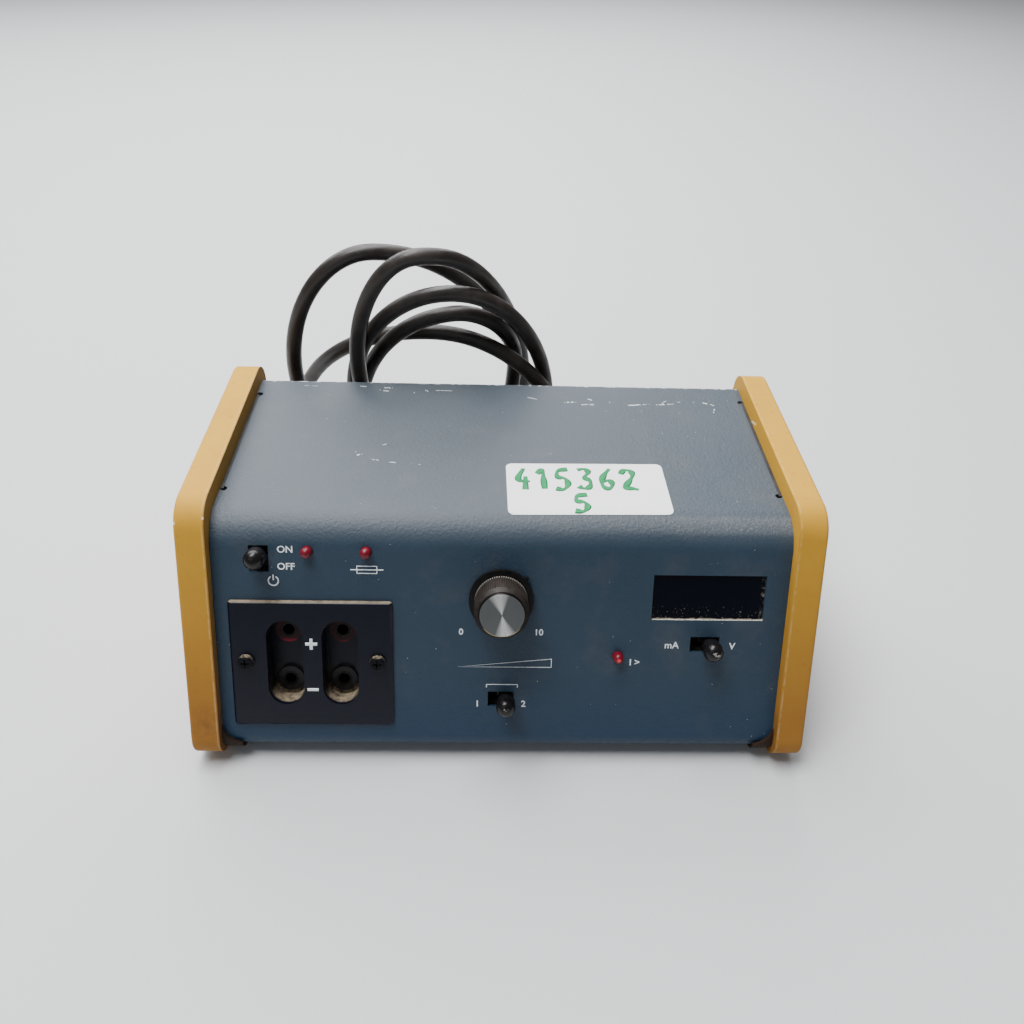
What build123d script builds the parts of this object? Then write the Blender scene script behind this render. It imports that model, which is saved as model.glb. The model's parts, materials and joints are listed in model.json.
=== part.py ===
from build123d import *
import math
import os

# Bench power supply for electrophoresis: a bent steel cover between two moulded cheeks,
# with a sloping front panel, a sunk terminal block and a mains cord coiled behind it.
# Millimetres. X runs to the right, Y to the back and Z up. The origin is on the bench,
# under the middle of the box that the housing takes up.

# Housing
overall_width = 219.4
cheek_thickness = 10.2
cheek_height = 88.0
cheek_base_depth = 137.0
lean = 23.7
nose_radius = 7.0
cheek_top_radius = 12.0
cheek_back_top_radius = 9.0
cheek_back_bottom_radius = 4.0
cheek_edge_round = 1.2
cheek_wall = 3.6
cheek_rim = 9.5
cheek_pocket_radius = 2.0
cheek_boss_diameter = 9.0
ledge_reach = 7.0
ledge_low = 6.2
ledge_corner = 9.0
ledge_setback = 2.1
ledge_top = 16.0
ledge_back = 30.0
feet_height = 3.5

# Cover, side plates, base and rear panel
sheet = 1.2
cover_setback = 4.1
cover_drop = 6.55
cover_lift = 1.3
cover_lower_radius = 5.0
cover_top_radius = 14.0
cover_return_depth = 30.0
cover_back_inset = 6.5
relief_back_inset = 10.5
relief_length = 62.0
relief_depth = 1.3
relief_notch = 2.4
seat_gap = 0.05
rest_gap = 0.3
cover_gap = 0.1
base_sheet = 1.5
rear_inset = 8.5
rear_flange_depth = 20.0
rear_vent_width = 2.6
rear_vent_height = 22.0
rear_vent_count = 9
rear_vent_pitch = 6.0
rear_vent_inset = 37.5
rear_vent_drop = 22.2

# Feet and housing screws
foot_diameter = 15.0
foot_inset = 19.5
foot_front = 21.0
foot_back_inset = 10.0
foot_draft = 3.0
foot_round = 0.6
foot_floor = 1.2
foot_head_clearance = 0.4
screw_diameter = 3.0
screw_head_diameter = 5.6
screw_head_height = 2.0
screw_head_round = 0.8
hole_clearance = 0.1
foot_screw_length = 6.0
lip_screw_inset = 44.5
lip_screw_depth = 24.0
lip_screw_length = 5.0
cheek_screw_setback = 19.0
cheek_screw_back_inset = 10.0
cheek_screw_low = 16.0
cheek_screw_drop = 22.0
cheek_screw_reach = 6.5
cheek_screw_end_gap = 0.5

# Terminal block: x across, u up the front panel from its foot, h out of the panel
plate_inset = 5.0
plate_width = 56.2
plate_low = 13.9
plate_length = 47.1
plate_rise = 1.5
plate_corner = 1.2
plate_bevel = 0.7
slot_inset = 18.85
slot_rise = 24.15
jack_pitch = 19.05
slot_width = 12.5
slot_length = 31.7
well_wall = 1.2
well_depth = 7.5
plate_screw_inset = 5.35
plate_screw_rise = 24.6
plate_screw_length = 6.5
plate_nut_height = 2.4
cross_length = 2.8
cross_width = 0.6
cross_depth = 1.4
carrier_thickness = 1.6
carrier_side_margin = 4.0
carrier_end_margin = 1.0
carrier_corner = 2.0
jack_head_diameter = 9.4
jack_head_height = 1.5
jack_neck_diameter = 7.6
sleeve_diameter = 5.6
socket_diameter = 4.0
socket_depth = 17.0
sleeve_length = 20.0
sleeve_tail_diameter = 3.0
sleeve_tail_length = 5.0
jack_nut_width = 10.0
jack_nut_height = 2.4

# Slide switches: places of their openings, the openings' sizes, and the levers
power_inset = 16.3
power_drop = 13.05
range_x = -0.25
range_u = 23.9
meter_inset = 28.0
meter_drop = 9.2
power_opening_width = 6.6
power_opening_length = 9.4
small_opening_width = 5.8
range_opening_length = 9.2
meter_opening_length = 10.3
switch_travel = 3.4
lever_stem_diameter = 4.6
lever_cap_diameter = 6.9
lever_cap_low = 2.0
lever_cap_high = 9.2
lever_cap_crown = 3.0
lever_cap_round = 1.0
lever_slider_length = 6.0
lever_slider_width = 4.4
lever_slider_depth = 3.0
lever_slider_clearance = 0.2
switch_body_length = 15.0
switch_body_width = 9.0
switch_body_top = 3.0

# Lamps and display
lamp_diameter = 3.8
lamp_rise = 3.8
lamp_crown = 1.85
power_lamp_inset = 32.65
fuse_lamp_inset = 52.55
upper_lamp_drop = 10.2
current_lamp_inset = 58.65
current_lamp_drop = 13.9
window_inset = 8.1
window_width = 39.5
window_drop = 17.45
window_length = 16.7
window_lap = 2.5
window_thickness = 1.5
display_side_inset = 0.5
display_end_lap = 1.0
display_gap = 0.3

# Knob and potentiometer
knob_x = -0.8
knob_drop = 26.65
knob_pointer_angle = 47.0
skirt_diameter = 22.4
skirt_thickness = 1.6
skirt_gap = 0.8
pointer_reach = 12.6
pointer_width = 5.0
pointer_root = 2.0
knob_body_diameter = 18.4
knob_neck_diameter = 16.2
knob_knurl_height = 10.6
knob_body_top = 14.7
knob_cap_diameter = 15.6
knob_cap_thickness = 0.6
knob_cap_bevel = 0.3
knob_rib_count = 72
knob_rib_depth = 0.35
set_screw_height = 8.0
set_screw_length = 4.0
set_screw_gap = 0.05
set_screw_slot_width = 0.6
set_screw_slot_depth = 0.8
shaft_diameter = 6.0
shaft_clearance = 0.05
shaft_top = 12.0
pot_bush_diameter = 9.5
pot_bush_top = 3.0
pot_nut_width = 12.0
pot_nut_height = 2.0
pot_diameter = 16.5
pot_floor = 3.0
shaft_end_gap = 0.2
knob_recess_diameter = 15.0
knob_recess_depth = 3.2

# Boards
board_gap = 12.0
board_thickness = 1.6
board_screw_end = 2.5
front_board_low = 15.0
front_board_drop = 4.95
front_board_inset = 5.5
front_board_step_gap = 3.9
front_board_split_gap = 4.3
spacer_diameter = 5.5
spacer_split_inset = 4.0
spacer_side_inset = 6.0
spacer_low_inset = 5.0
spacer_high_inset = 8.0
spacer_window_gap = 21.9
main_board_gap = 9.0
main_board_inset = 9.5
main_board_back_gap = 8.0
main_board_depth = 68.0
standoff_height = 6.0
standoff_diameter = 6.0
standoff_inset = 5.0

# Transformer, capacitors and heat sink
core_inset = 13.5
core_width = 57.0
core_depth = 32.0
core_back_gap = 14.0
core_height = 48.0
core_leg = 9.5
winding_side = 5.0
winding_gap = 0.3
strap_thickness = 1.5
strap_foot = 9.0
strap_gap = 0.1
capacitor_diameter = 18.0
capacitor_height = 30.0
capacitor_round = 1.2
capacitor_inset = 16.0
capacitor_pitch = 22.0
capacitor_setback = 21.0
sink_inset = 6.0
sink_width = 50.0
sink_back_inset = 18.0
sink_plate = 2.5
sink_fin_thickness = 1.6
sink_fin_pitch = 7.0
sink_fin_length = 9.0
sink_height = 32.0
transistor_width = 15.0
transistor_height = 18.0
transistor_depth = 4.8
transistor_inset = 12.0
transistor_pitch = 22.0

# Fuse and its holder, in the rear panel
fuse_inset = 47.5
fuse_z = 55.0
holder_barrel_diameter = 12.0
holder_flange_diameter = 16.0
holder_flange_thickness = 2.5
holder_end_wall = 2.0
holder_nut_width = 16.0
holder_nut_height = 3.0
fuse_diameter = 5.2
fuse_length = 20.0
fuse_clearance = 0.4
fuse_seat_gap = 0.1
fuse_end_gap = 0.2
fuse_cap_diameter = 11.0
fuse_cap_length = 7.5
fuse_cap_stem_diameter = 9.6
fuse_cap_stem_length = 7.0
fuse_cap_grip = 3.8
fuse_cap_grip_length = 4.5
fuse_pocket = 5.0

# Mains cord
cord_diameter = 6.6
cord_exit_inset = 19.5
cord_exit_z = 45.0
relief_boot_length = 28.0
relief_boot_base_diameter = 13.0
relief_boot_tip_diameter = 9.0
relief_flange_diameter = 17.0
relief_flange_thickness = 2.0
relief_inner_length = 9.0
relief_body_diameter = 12.0
coil_lift = 0.2
coil_lean = 12.0
coil_foot_gap = 23.5
strand_pitch = 7.4
plug_boot_length = 14.0
plug_boot_tip_diameter = 9.0
plug_boot_base_diameter = 13.0
plug_body_length = 27.0
plug_body_width = 25.0
plug_body_height = 21.0
plug_neck_width = 18.0
plug_neck_height = 15.1
plug_corner = 5.0
plug_blade_length = 16.5
plug_blade_width = 6.4
plug_blade_thickness = 1.5
plug_blade_spacing = 12.7
plug_blade_offset = 2.5
plug_pin_diameter = 4.8
plug_pin_offset = 5.5

# Label on the cover's top
label_x = 29.7
label_setback = 20.7
label_width = 57.6
label_length = 29.0
label_corner = 2.2
label_turn = 0.9
label_thickness = 0.15

os.makedirs("parts", exist_ok=True)

tilt = math.radians(lean)
nose_front = nose_radius / math.tan(math.radians(90 - lean) / 2) - nose_radius
middle_y = (nose_front + cheek_base_depth) / 2
inner_face = overall_width / 2 - cheek_thickness
cover_side = inner_face - cover_gap
cover_top = cheek_height - cover_drop
cover_back = cheek_base_depth - cover_back_inset
rear_face = cover_back - rear_inset
relief_end = cover_back - relief_back_inset
relief_start = relief_end - relief_length
floor_top = cover_lift + sheet + base_sheet
panel = Plane(
    origin=(0, cover_setback / math.cos(tilt) - middle_y, feet_height),
    x_dir=(1, 0, 0),
    z_dir=(0, -math.cos(tilt), math.sin(tilt)),
)

# Places on the front panel, from its sides, its foot and its sharp upper corner
panel_top = cover_top / math.cos(tilt)
plate_left = plate_inset - inner_face
plate_right = plate_left + plate_width
plate_high = plate_low + plate_length
plate_screw_u = plate_low + plate_screw_rise
slot_middle = plate_low + slot_rise
well_middles = [plate_left + slot_inset, plate_left + slot_inset + jack_pitch]
window_right = inner_face - window_inset
window_left = window_right - window_width
window_high = panel_top - window_drop
window_low = window_high - window_length
window_middle = ((window_left + window_right) / 2, (window_low + window_high) / 2)
power_x = power_inset - inner_face
power_u = panel_top - power_drop
meter_x = inner_face - meter_inset
meter_u = window_low - meter_drop
knob_u = panel_top - knob_drop
fuse_x = inner_face - fuse_inset
cord_exit_x = inner_face - cord_exit_inset
lamp_places = [
    (power_lamp_inset - inner_face, panel_top - upper_lamp_drop),
    (fuse_lamp_inset - inner_face, panel_top - upper_lamp_drop),
    (inner_face - current_lamp_inset, window_low - current_lamp_drop),
]


def y_at(depth):
    """Y of a place that is so far behind the cheeks' sharp front corner."""
    return depth - middle_y


def z_at(height):
    """Z of a place that is so far above the cheeks' lower edge."""
    return height + feet_height


def front_y(height, inset):
    """Y of the front panel at a height, that far inside its outer face."""
    return y_at(height * math.tan(tilt) + (cover_setback + inset) / math.cos(tilt))


def panel_plane(x, u, h, turn=0):
    """Plane parallel to the front panel at a place on it, turned about the panel's normal."""
    way = panel.x_dir * math.cos(math.radians(turn)) + panel.y_dir * math.sin(math.radians(turn))
    return Plane(panel.from_local_coords(Vector(x, u, h)), way, panel.z_dir)


def cover_line(inset, back, low_back):
    """Corners of the cover's profile, that far inside its outer face."""
    low = cover_lift + inset
    top = cover_top - inset
    return [
        (y_at(low_back), z_at(low)),
        (front_y(low, inset), z_at(low)),
        (front_y(top, inset), z_at(top)),
        (y_at(back), z_at(top)),
    ]


def round_corner(corner, radius):
    """Round the corner of the sketch in hand that is nearest to a point."""
    fillet(vertices().sort_by_distance((*corner, 0))[0], radius)


def save(part, label):
    """Name a finished piece and write it."""
    part.label = label
    export_step(part, "parts/" + label + ".step")


# Cheeks: thick mouldings that stand proud of the cover, hollow on their inner side, with a
# ledge that the cover's lower front corner rests in
def cheek_outline(inset):
    """Corners of the cheek's side view, that far inside its edge."""
    low = inset
    high = cheek_height - inset
    back = cheek_base_depth - inset
    return [
        (y_at(low * math.tan(tilt) + inset / math.cos(tilt)), z_at(low)),
        (y_at(back), z_at(low)),
        (y_at(back), z_at(high)),
        (y_at(high * math.tan(tilt) + inset / math.cos(tilt)), z_at(high)),
    ]


cheek_radii = [nose_radius, cheek_back_bottom_radius, cheek_back_top_radius, cheek_top_radius]
cheek_screw_high = cheek_height - cheek_screw_drop
cheek_screw_back = rear_face - cheek_screw_back_inset
cheek_screw_points = [
    (y_at(cheek_screw_low * math.tan(tilt) + cheek_screw_setback), z_at(cheek_screw_low)),
    (y_at(cheek_screw_back), z_at(cheek_screw_low)),
    (y_at(cheek_screw_high * math.tan(tilt) + cheek_screw_setback), z_at(cheek_screw_high)),
    (y_at(cheek_screw_back), z_at(cheek_screw_high)),
]
ledge_front = ledge_setback - cover_setback
ledge_floor = cover_lift - rest_gap
ledge_corners = [
    (front_y(ledge_top, ledge_front), z_at(ledge_top)),
    (front_y(0, ledge_front), z_at(0)),
    (y_at(ledge_back), z_at(0)),
    (y_at(ledge_back), z_at(ledge_floor)),
    (front_y(ledge_floor, -rest_gap), z_at(ledge_floor)),
    (front_y(ledge_top, -rest_gap), z_at(ledge_top)),
]

for side, label in [(-1, "left_cheek"), (1, "right_cheek")]:
    with BuildPart() as cheek:
        with BuildSketch(Plane.YZ.offset(side * inner_face)):
            with BuildLine():
                Polyline(*cheek_outline(0), close=True)
            make_face()
            for corner, radius in zip(cheek_outline(0), cheek_radii):
                round_corner(corner, radius)
        extrude(amount=side * cheek_thickness)
        outer_edges = faces().sort_by(Axis.X)[-1 if side > 0 else 0].edges()
        fillet(outer_edges, cheek_edge_round)
        with BuildSketch(Plane.YZ.offset(side * inner_face)):
            with BuildLine():
                Polyline(*cheek_outline(cheek_rim), close=True)
            make_face()
            for corner, radius in zip(cheek_outline(cheek_rim), cheek_radii):
                round_corner(corner, max(radius - cheek_rim, cheek_pocket_radius))
        extrude(amount=side * (cheek_thickness - cheek_wall), mode=Mode.SUBTRACT)
        with BuildSketch(Plane.YZ.offset(side * inner_face)):
            with Locations(*cheek_screw_points):
                Circle(cheek_boss_diameter / 2)
        extrude(amount=side * (cheek_thickness - cheek_wall))
        with BuildSketch(Plane.YZ.offset(side * inner_face)):
            with Locations(*cheek_screw_points):
                Circle(screw_diameter / 2 + hole_clearance)
        extrude(amount=side * cheek_screw_reach, mode=Mode.SUBTRACT)
        with BuildSketch(Plane.YZ.offset(side * (inner_face - ledge_reach))):
            with BuildLine():
                Polyline(*ledge_corners, close=True)
            make_face()
            round_corner(ledge_corners[1], nose_radius)
            round_corner(ledge_corners[4], cover_lower_radius + rest_gap)
        extrude(amount=side * ledge_reach)
        with BuildSketch(panel.offset(-cover_lower_radius)):
            with Locations((0, ledge_low + cover_top)):
                RectangleRounded(2 * inner_face, 2 * cover_top, ledge_corner)
        extrude(amount=cover_lower_radius + cover_setback, mode=Mode.SUBTRACT)
    save(cheek.part, label)

# Side plates: flat sheets against the cheeks, each with a tab that shows beside the cover
plate_outer = inner_face - seat_gap
plate_inner = plate_outer - sheet
for side, label in [(-1, "left_side_plate"), (1, "right_side_plate")]:
    clear = sheet + cover_gap
    low = cover_lift + sheet
    with BuildPart() as side_plate:
        with BuildSketch(Plane.YZ.offset(side * plate_inner)):
            with BuildLine():
                Polyline(
                    (front_y(low, clear), z_at(low)),
                    (y_at(rear_face - sheet), z_at(low)),
                    (y_at(rear_face - sheet), z_at(cover_top - clear)),
                    (front_y(cover_top - clear, clear), z_at(cover_top - clear)),
                    close=True,
                )
            make_face()
            round_corner((front_y(low, clear), z_at(low)), cover_lower_radius)
            round_corner((front_y(cover_top - clear, clear), z_at(cover_top - clear)), cover_top_radius)
            tab_length = relief_end - relief_start - 2 * cover_gap
            tab_middle = (y_at((relief_start + relief_end) / 2), z_at(cover_top - clear))
            with Locations(tab_middle):
                Rectangle(tab_length, 2 * (clear - cover_gap))
        extrude(amount=side * sheet)
        with BuildSketch(Plane.YZ.offset(side * plate_inner)):
            with Locations(*cheek_screw_points):
                Circle(screw_diameter / 2 + hole_clearance)
        extrude(amount=side * sheet, mode=Mode.SUBTRACT)
    save(side_plate.part, label)

# Cover: one bent sheet that makes the front panel and the top
foot_side = inner_face - foot_inset
foot_rear = rear_face - foot_back_inset
lip_screw_side = inner_face - lip_screw_inset
foot_points = [(x, y_at(depth)) for x in (-foot_side, foot_side) for depth in (foot_front, foot_rear)]
lip_points = [(x, y_at(lip_screw_depth)) for x in (-lip_screw_side, 0, lip_screw_side)]
plate_screw_points = [
    (plate_left + plate_screw_inset, plate_screw_u),
    (plate_right - plate_screw_inset, plate_screw_u),
]
with BuildPart() as front_top_cover:
    with BuildSketch(Plane.YZ.offset(-cover_side)):
        with BuildLine():
            outer = FilletPolyline(
                *cover_line(0, cover_back, cover_return_depth),
                radius=[cover_lower_radius, cover_top_radius],
            )
            inner = FilletPolyline(
                *cover_line(sheet, cover_back, cover_return_depth),
                radius=[cover_lower_radius - sheet, cover_top_radius - sheet],
            )
            Line(outer @ 0, inner @ 0)
            Line(outer @ 1, inner @ 1)
        make_face()
    extrude(amount=2 * cover_side)
    with BuildSketch(Plane.XY.offset(z_at(cover_top - 2 * sheet))):
        for side in (-1, 1):
            with Locations((side * cover_side, y_at((relief_start + relief_end) / 2))):
                Rectangle(2 * (relief_depth - cover_gap), relief_end - relief_start)
            for end in (relief_start, relief_end):
                with Locations((side * (cover_side - relief_depth), y_at(end))):
                    Circle(relief_notch / 2)
    extrude(amount=4 * sheet, mode=Mode.SUBTRACT)
    with BuildSketch(panel):
        for middle in well_middles:
            with Locations((middle, slot_middle)):
                wide = slot_width + 2 * well_wall + 2 * hole_clearance
                long = slot_length + 2 * well_wall + 2 * hole_clearance
                SlotOverall(long, wide, rotation=90)
        with Locations((power_x, power_u)):
            Rectangle(power_opening_width, power_opening_length)
        with Locations((range_x, range_u)):
            Rectangle(range_opening_length, small_opening_width)
        with Locations((meter_x, meter_u)):
            Rectangle(meter_opening_length, small_opening_width)
        with Locations(window_middle):
            Rectangle(window_width, window_length)
        with Locations((knob_x, knob_u)):
            Circle(pot_bush_diameter / 2 + hole_clearance)
        with Locations(*lamp_places):
            Circle(lamp_diameter / 2 + hole_clearance)
        with Locations(*plate_screw_points):
            Circle(screw_diameter / 2 + hole_clearance)
    extrude(amount=-2 * sheet, mode=Mode.SUBTRACT)
    with BuildSketch(Plane.XY.offset(z_at(cover_lift))):
        with Locations(*lip_points, *foot_points):
            Circle(screw_diameter / 2 + hole_clearance)
    extrude(amount=sheet, mode=Mode.SUBTRACT)
save(front_top_cover.part, "front_top_cover")

# Base plate: flat sheet on the cover's lower return and the rear panel's lower flange
base_half_width = plate_inner - seat_gap
base_front = front_y(cover_lift + sheet, sheet) + cover_lower_radius / math.tan(math.radians(90 - lean) / 2)
base_back = y_at(rear_face - sheet) - seat_gap
with BuildPart() as base_plate:
    with BuildSketch(Plane.XY.offset(z_at(cover_lift + sheet))):
        with Locations((0, (base_front + base_back) / 2)):
            Rectangle(2 * base_half_width, base_back - base_front)
        with Locations(*foot_points, *lip_points):
            Circle(screw_diameter / 2 + hole_clearance, mode=Mode.SUBTRACT)
    extrude(amount=base_sheet)
save(base_plate.part, "base_plate")

# Rear panel: upright sheet with a flange under the cover and one under the base plate
rear_top = cover_top - sheet - seat_gap
with BuildPart() as rear_panel:
    with BuildSketch(Plane.YZ.offset(-base_half_width)):
        with BuildLine():
            Polyline(
                (y_at(rear_face - rear_flange_depth), z_at(cover_lift)),
                (y_at(rear_face), z_at(cover_lift)),
                (y_at(rear_face), z_at(rear_top)),
                (y_at(rear_face - rear_flange_depth), z_at(rear_top)),
                (y_at(rear_face - rear_flange_depth), z_at(rear_top - sheet)),
                (y_at(rear_face - sheet), z_at(rear_top - sheet)),
                (y_at(rear_face - sheet), z_at(cover_lift + sheet)),
                (y_at(rear_face - rear_flange_depth), z_at(cover_lift + sheet)),
                close=True,
            )
        make_face()
    extrude(amount=2 * base_half_width)
    with BuildSketch(Plane.XZ.offset(-y_at(rear_face))):
        with Locations((rear_vent_inset - inner_face, z_at(rear_top - rear_vent_drop))):
            with GridLocations(rear_vent_pitch, 1, rear_vent_count, 1):
                SlotOverall(rear_vent_height, rear_vent_width, rotation=90)
        with Locations((fuse_x, z_at(fuse_z))):
            Circle(holder_barrel_diameter / 2 + hole_clearance)
        with Locations((cord_exit_x, z_at(cord_exit_z))):
            Circle(relief_body_diameter / 2 + hole_clearance)
    extrude(amount=sheet, mode=Mode.SUBTRACT)
    with BuildSketch(Plane.XY.offset(z_at(cover_lift))):
        for x in (-foot_side, foot_side):
            with Locations((x, y_at(foot_rear))):
                Circle(screw_diameter / 2 + hole_clearance)
    extrude(amount=sheet, mode=Mode.SUBTRACT)
save(rear_panel.part, "rear_panel")

# Feet: rubber buttons with a recess for the screw that holds them
foot_total = z_at(cover_lift)
with BuildPart() as feet:
    with BuildSketch(Plane.XY):
        with Locations(*foot_points):
            Circle(foot_diameter / 2)
    extrude(amount=foot_total, taper=-foot_draft)
    fillet(edges().filter_by(GeomType.CIRCLE).group_by(Axis.Z)[0], foot_round)
    with BuildSketch(Plane.XY):
        with Locations(*foot_points):
            Circle(screw_head_diameter / 2 + foot_head_clearance)
    extrude(amount=foot_total - foot_floor, mode=Mode.SUBTRACT)
    with BuildSketch(Plane.XY):
        with Locations(*foot_points):
            Circle(screw_diameter / 2 + hole_clearance)
    extrude(amount=foot_total, mode=Mode.SUBTRACT)
save(feet.part, "feet")


def round_head_screws(places, head_top, shank_length):
    """Screws that point up, with their heads below the given height."""
    with BuildPart() as screws:
        with BuildSketch(Plane.XY.offset(head_top - screw_head_height)):
            with Locations(*places):
                Circle(screw_head_diameter / 2)
        extrude(amount=screw_head_height)
        fillet(edges().filter_by(GeomType.CIRCLE).group_by(Axis.Z)[0], screw_head_round)
        with BuildSketch(Plane.XY.offset(head_top)):
            with Locations(*places):
                Circle(screw_diameter / 2)
        extrude(amount=shank_length)
    return screws.part


save(round_head_screws(foot_points, foot_total - foot_floor, foot_screw_length), "foot_screws")
save(round_head_screws(lip_points, z_at(cover_lift), lip_screw_length), "lip_screws")

# Cheek screws: from inside the housing, through the side plates into the cheeks
with BuildPart() as cheek_screws:
    for side in (-1, 1):
        with BuildSketch(Plane.YZ.offset(side * (plate_inner - screw_head_height))):
            with Locations(*cheek_screw_points):
                Circle(screw_head_diameter / 2)
        extrude(amount=side * screw_head_height)
        with BuildSketch(Plane.YZ.offset(side * plate_inner)):
            with Locations(*cheek_screw_points):
                Circle(screw_diameter / 2)
        extrude(amount=side * (cheek_screw_reach - cheek_screw_end_gap))
save(cheek_screws.part, "cheek_screws")

# Terminal plate: raised moulding with two wells that the banana sockets sit in
plate_middle = ((plate_left + plate_right) / 2, (plate_low + plate_high) / 2)
with BuildPart() as terminal_plate:
    with BuildSketch(panel):
        with Locations(plate_middle):
            RectangleRounded(plate_width, plate_length, plate_corner)
    extrude(amount=plate_rise)
    chamfer(faces().filter_by(panel).sort_by(Axis(panel.origin, panel.z_dir))[-1].edges(), plate_bevel)
    with BuildSketch(panel):
        for middle in well_middles:
            with Locations((middle, slot_middle)):
                SlotOverall(slot_length + 2 * well_wall, slot_width + 2 * well_wall, rotation=90)
    extrude(amount=-well_depth)
    with BuildSketch(panel.offset(plate_rise)):
        for middle in well_middles:
            with Locations((middle, slot_middle)):
                SlotOverall(slot_length, slot_width, rotation=90)
    extrude(amount=-(plate_rise + well_depth), mode=Mode.SUBTRACT)
    with BuildSketch(panel):
        with Locations(*plate_screw_points):
            Circle(screw_diameter / 2 + hole_clearance)
    extrude(amount=plate_rise, mode=Mode.SUBTRACT)
save(terminal_plate.part, "terminal_plate")

# Terminal plate screws: cross-recessed, with a nut behind the cover
with BuildPart() as plate_screws:
    with BuildSketch(panel.offset(plate_rise)):
        with Locations(*plate_screw_points):
            Circle(screw_head_diameter / 2)
    extrude(amount=screw_head_height)
    fillet(faces().sort_by(Axis(panel.origin, panel.z_dir))[-2:].edges(), screw_head_round)
    with BuildSketch(panel.offset(plate_rise + screw_head_height)):
        with Locations(*plate_screw_points):
            Rectangle(cross_length, cross_width)
            Rectangle(cross_width, cross_length)
    extrude(amount=-cross_depth, mode=Mode.SUBTRACT)
    with BuildSketch(panel.offset(plate_rise)):
        with Locations(*plate_screw_points):
            Circle(screw_diameter / 2)
    extrude(amount=-plate_screw_length)
save(plate_screws.part, "plate_screws")
with BuildPart() as plate_nuts:
    with BuildSketch(panel.offset(-sheet)):
        with Locations(*plate_screw_points):
            RegularPolygon(screw_head_diameter / 2, 6, major_radius=False)
            Circle(screw_diameter / 2 + hole_clearance, mode=Mode.SUBTRACT)
    extrude(amount=-plate_nut_height)
save(plate_nuts.part, "plate_nuts")

# Jack carrier: the board that closes the wells and carries the four sockets
jack_points = [
    (x, u)
    for x in well_middles
    for u in (slot_middle - jack_pitch / 2, slot_middle + jack_pitch / 2)
]
carrier_width = jack_pitch + slot_width + 2 * carrier_side_margin
carrier_length = slot_length + 2 * well_wall + 2 * carrier_end_margin
carrier_middle = ((well_middles[0] + well_middles[1]) / 2, slot_middle)
with BuildPart() as jack_carrier:
    with BuildSketch(panel.offset(-well_depth)):
        with Locations(carrier_middle):
            RectangleRounded(carrier_width, carrier_length, carrier_corner)
        with Locations(*jack_points):
            Circle(jack_neck_diameter / 2 + hole_clearance, mode=Mode.SUBTRACT)
    extrude(amount=-carrier_thickness)
save(jack_carrier.part, "jack_carrier")

# Jack heads: insulating bushes, red in the upper row and black in the lower row
rows = [("black_jack_heads", jack_points[0::2]), ("red_jack_heads", jack_points[1::2])]
for label, places in rows:
    with BuildPart() as jack_heads:
        with BuildSketch(panel.offset(-well_depth)):
            with Locations(*places):
                Circle(jack_head_diameter / 2)
        extrude(amount=jack_head_height)
        with BuildSketch(panel.offset(-well_depth)):
            with Locations(*places):
                Circle(jack_neck_diameter / 2)
        extrude(amount=-(carrier_thickness + jack_nut_height))
        with BuildSketch(panel.offset(-well_depth + jack_head_height)):
            with Locations(*places):
                Circle(sleeve_diameter / 2 + hole_clearance / 2)
        extrude(amount=-(jack_head_height + carrier_thickness + jack_nut_height), mode=Mode.SUBTRACT)
    save(jack_heads.part, label)

# Jack sleeves: plated brass tubes for 4 mm plugs, with a solder tail
with BuildPart() as jack_sleeves:
    mouth = panel.offset(-well_depth + jack_head_height)
    with BuildSketch(mouth):
        with Locations(*jack_points):
            Circle(sleeve_diameter / 2)
    extrude(amount=-sleeve_length)
    with BuildSketch(mouth.offset(-sleeve_length)):
        with Locations(*jack_points):
            Circle(sleeve_tail_diameter / 2)
    extrude(amount=-sleeve_tail_length)
    with BuildSketch(mouth):
        with Locations(*jack_points):
            Circle(socket_diameter / 2)
    extrude(amount=-socket_depth, mode=Mode.SUBTRACT)
save(jack_sleeves.part, "jack_sleeves")

with BuildPart() as jack_nuts:
    with BuildSketch(panel.offset(-well_depth - carrier_thickness)):
        with Locations(*jack_points):
            RegularPolygon(jack_nut_width / 2, 6, major_radius=False)
            Circle(jack_neck_diameter / 2 + hole_clearance / 2, mode=Mode.SUBTRACT)
    extrude(amount=-jack_nut_height)
save(jack_nuts.part, "jack_nuts")

# Front board: carries the switches, lamps, display and control behind the panel
board_side = inner_face - front_board_inset
board_split = plate_right + front_board_split_gap
board_high = panel_top - front_board_drop
board_step = power_u - switch_body_length / 2 - front_board_step_gap
spacer_places = [
    (board_split + spacer_split_inset, front_board_low + spacer_low_inset),
    (board_side - spacer_side_inset, front_board_low + spacer_low_inset),
    (board_split + spacer_side_inset, board_high - spacer_high_inset),
    (window_left - spacer_window_gap, board_high - spacer_high_inset),
]
with BuildPart() as front_board:
    with BuildSketch(panel.offset(-sheet - board_gap)):
        with Locations(((board_split + board_side) / 2, (front_board_low + board_high) / 2)):
            Rectangle(board_side - board_split, board_high - front_board_low)
        with Locations(((board_split - board_side) / 2, (board_step + board_high) / 2)):
            Rectangle(board_side + board_split, board_high - board_step)
        with Locations(*spacer_places):
            Circle(screw_diameter / 2 + hole_clearance, mode=Mode.SUBTRACT)
    extrude(amount=-board_thickness)
save(front_board.part, "front_board")

with BuildPart() as board_spacers:
    with BuildSketch(panel.offset(-sheet)):
        with Locations(*spacer_places):
            Circle(spacer_diameter / 2)
    extrude(amount=-board_gap)
    with BuildSketch(panel.offset(-sheet - board_gap)):
        with Locations(*spacer_places):
            Circle(screw_diameter / 2)
    extrude(amount=-(board_thickness + board_screw_end))
save(board_spacers.part, "board_spacers")

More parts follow.
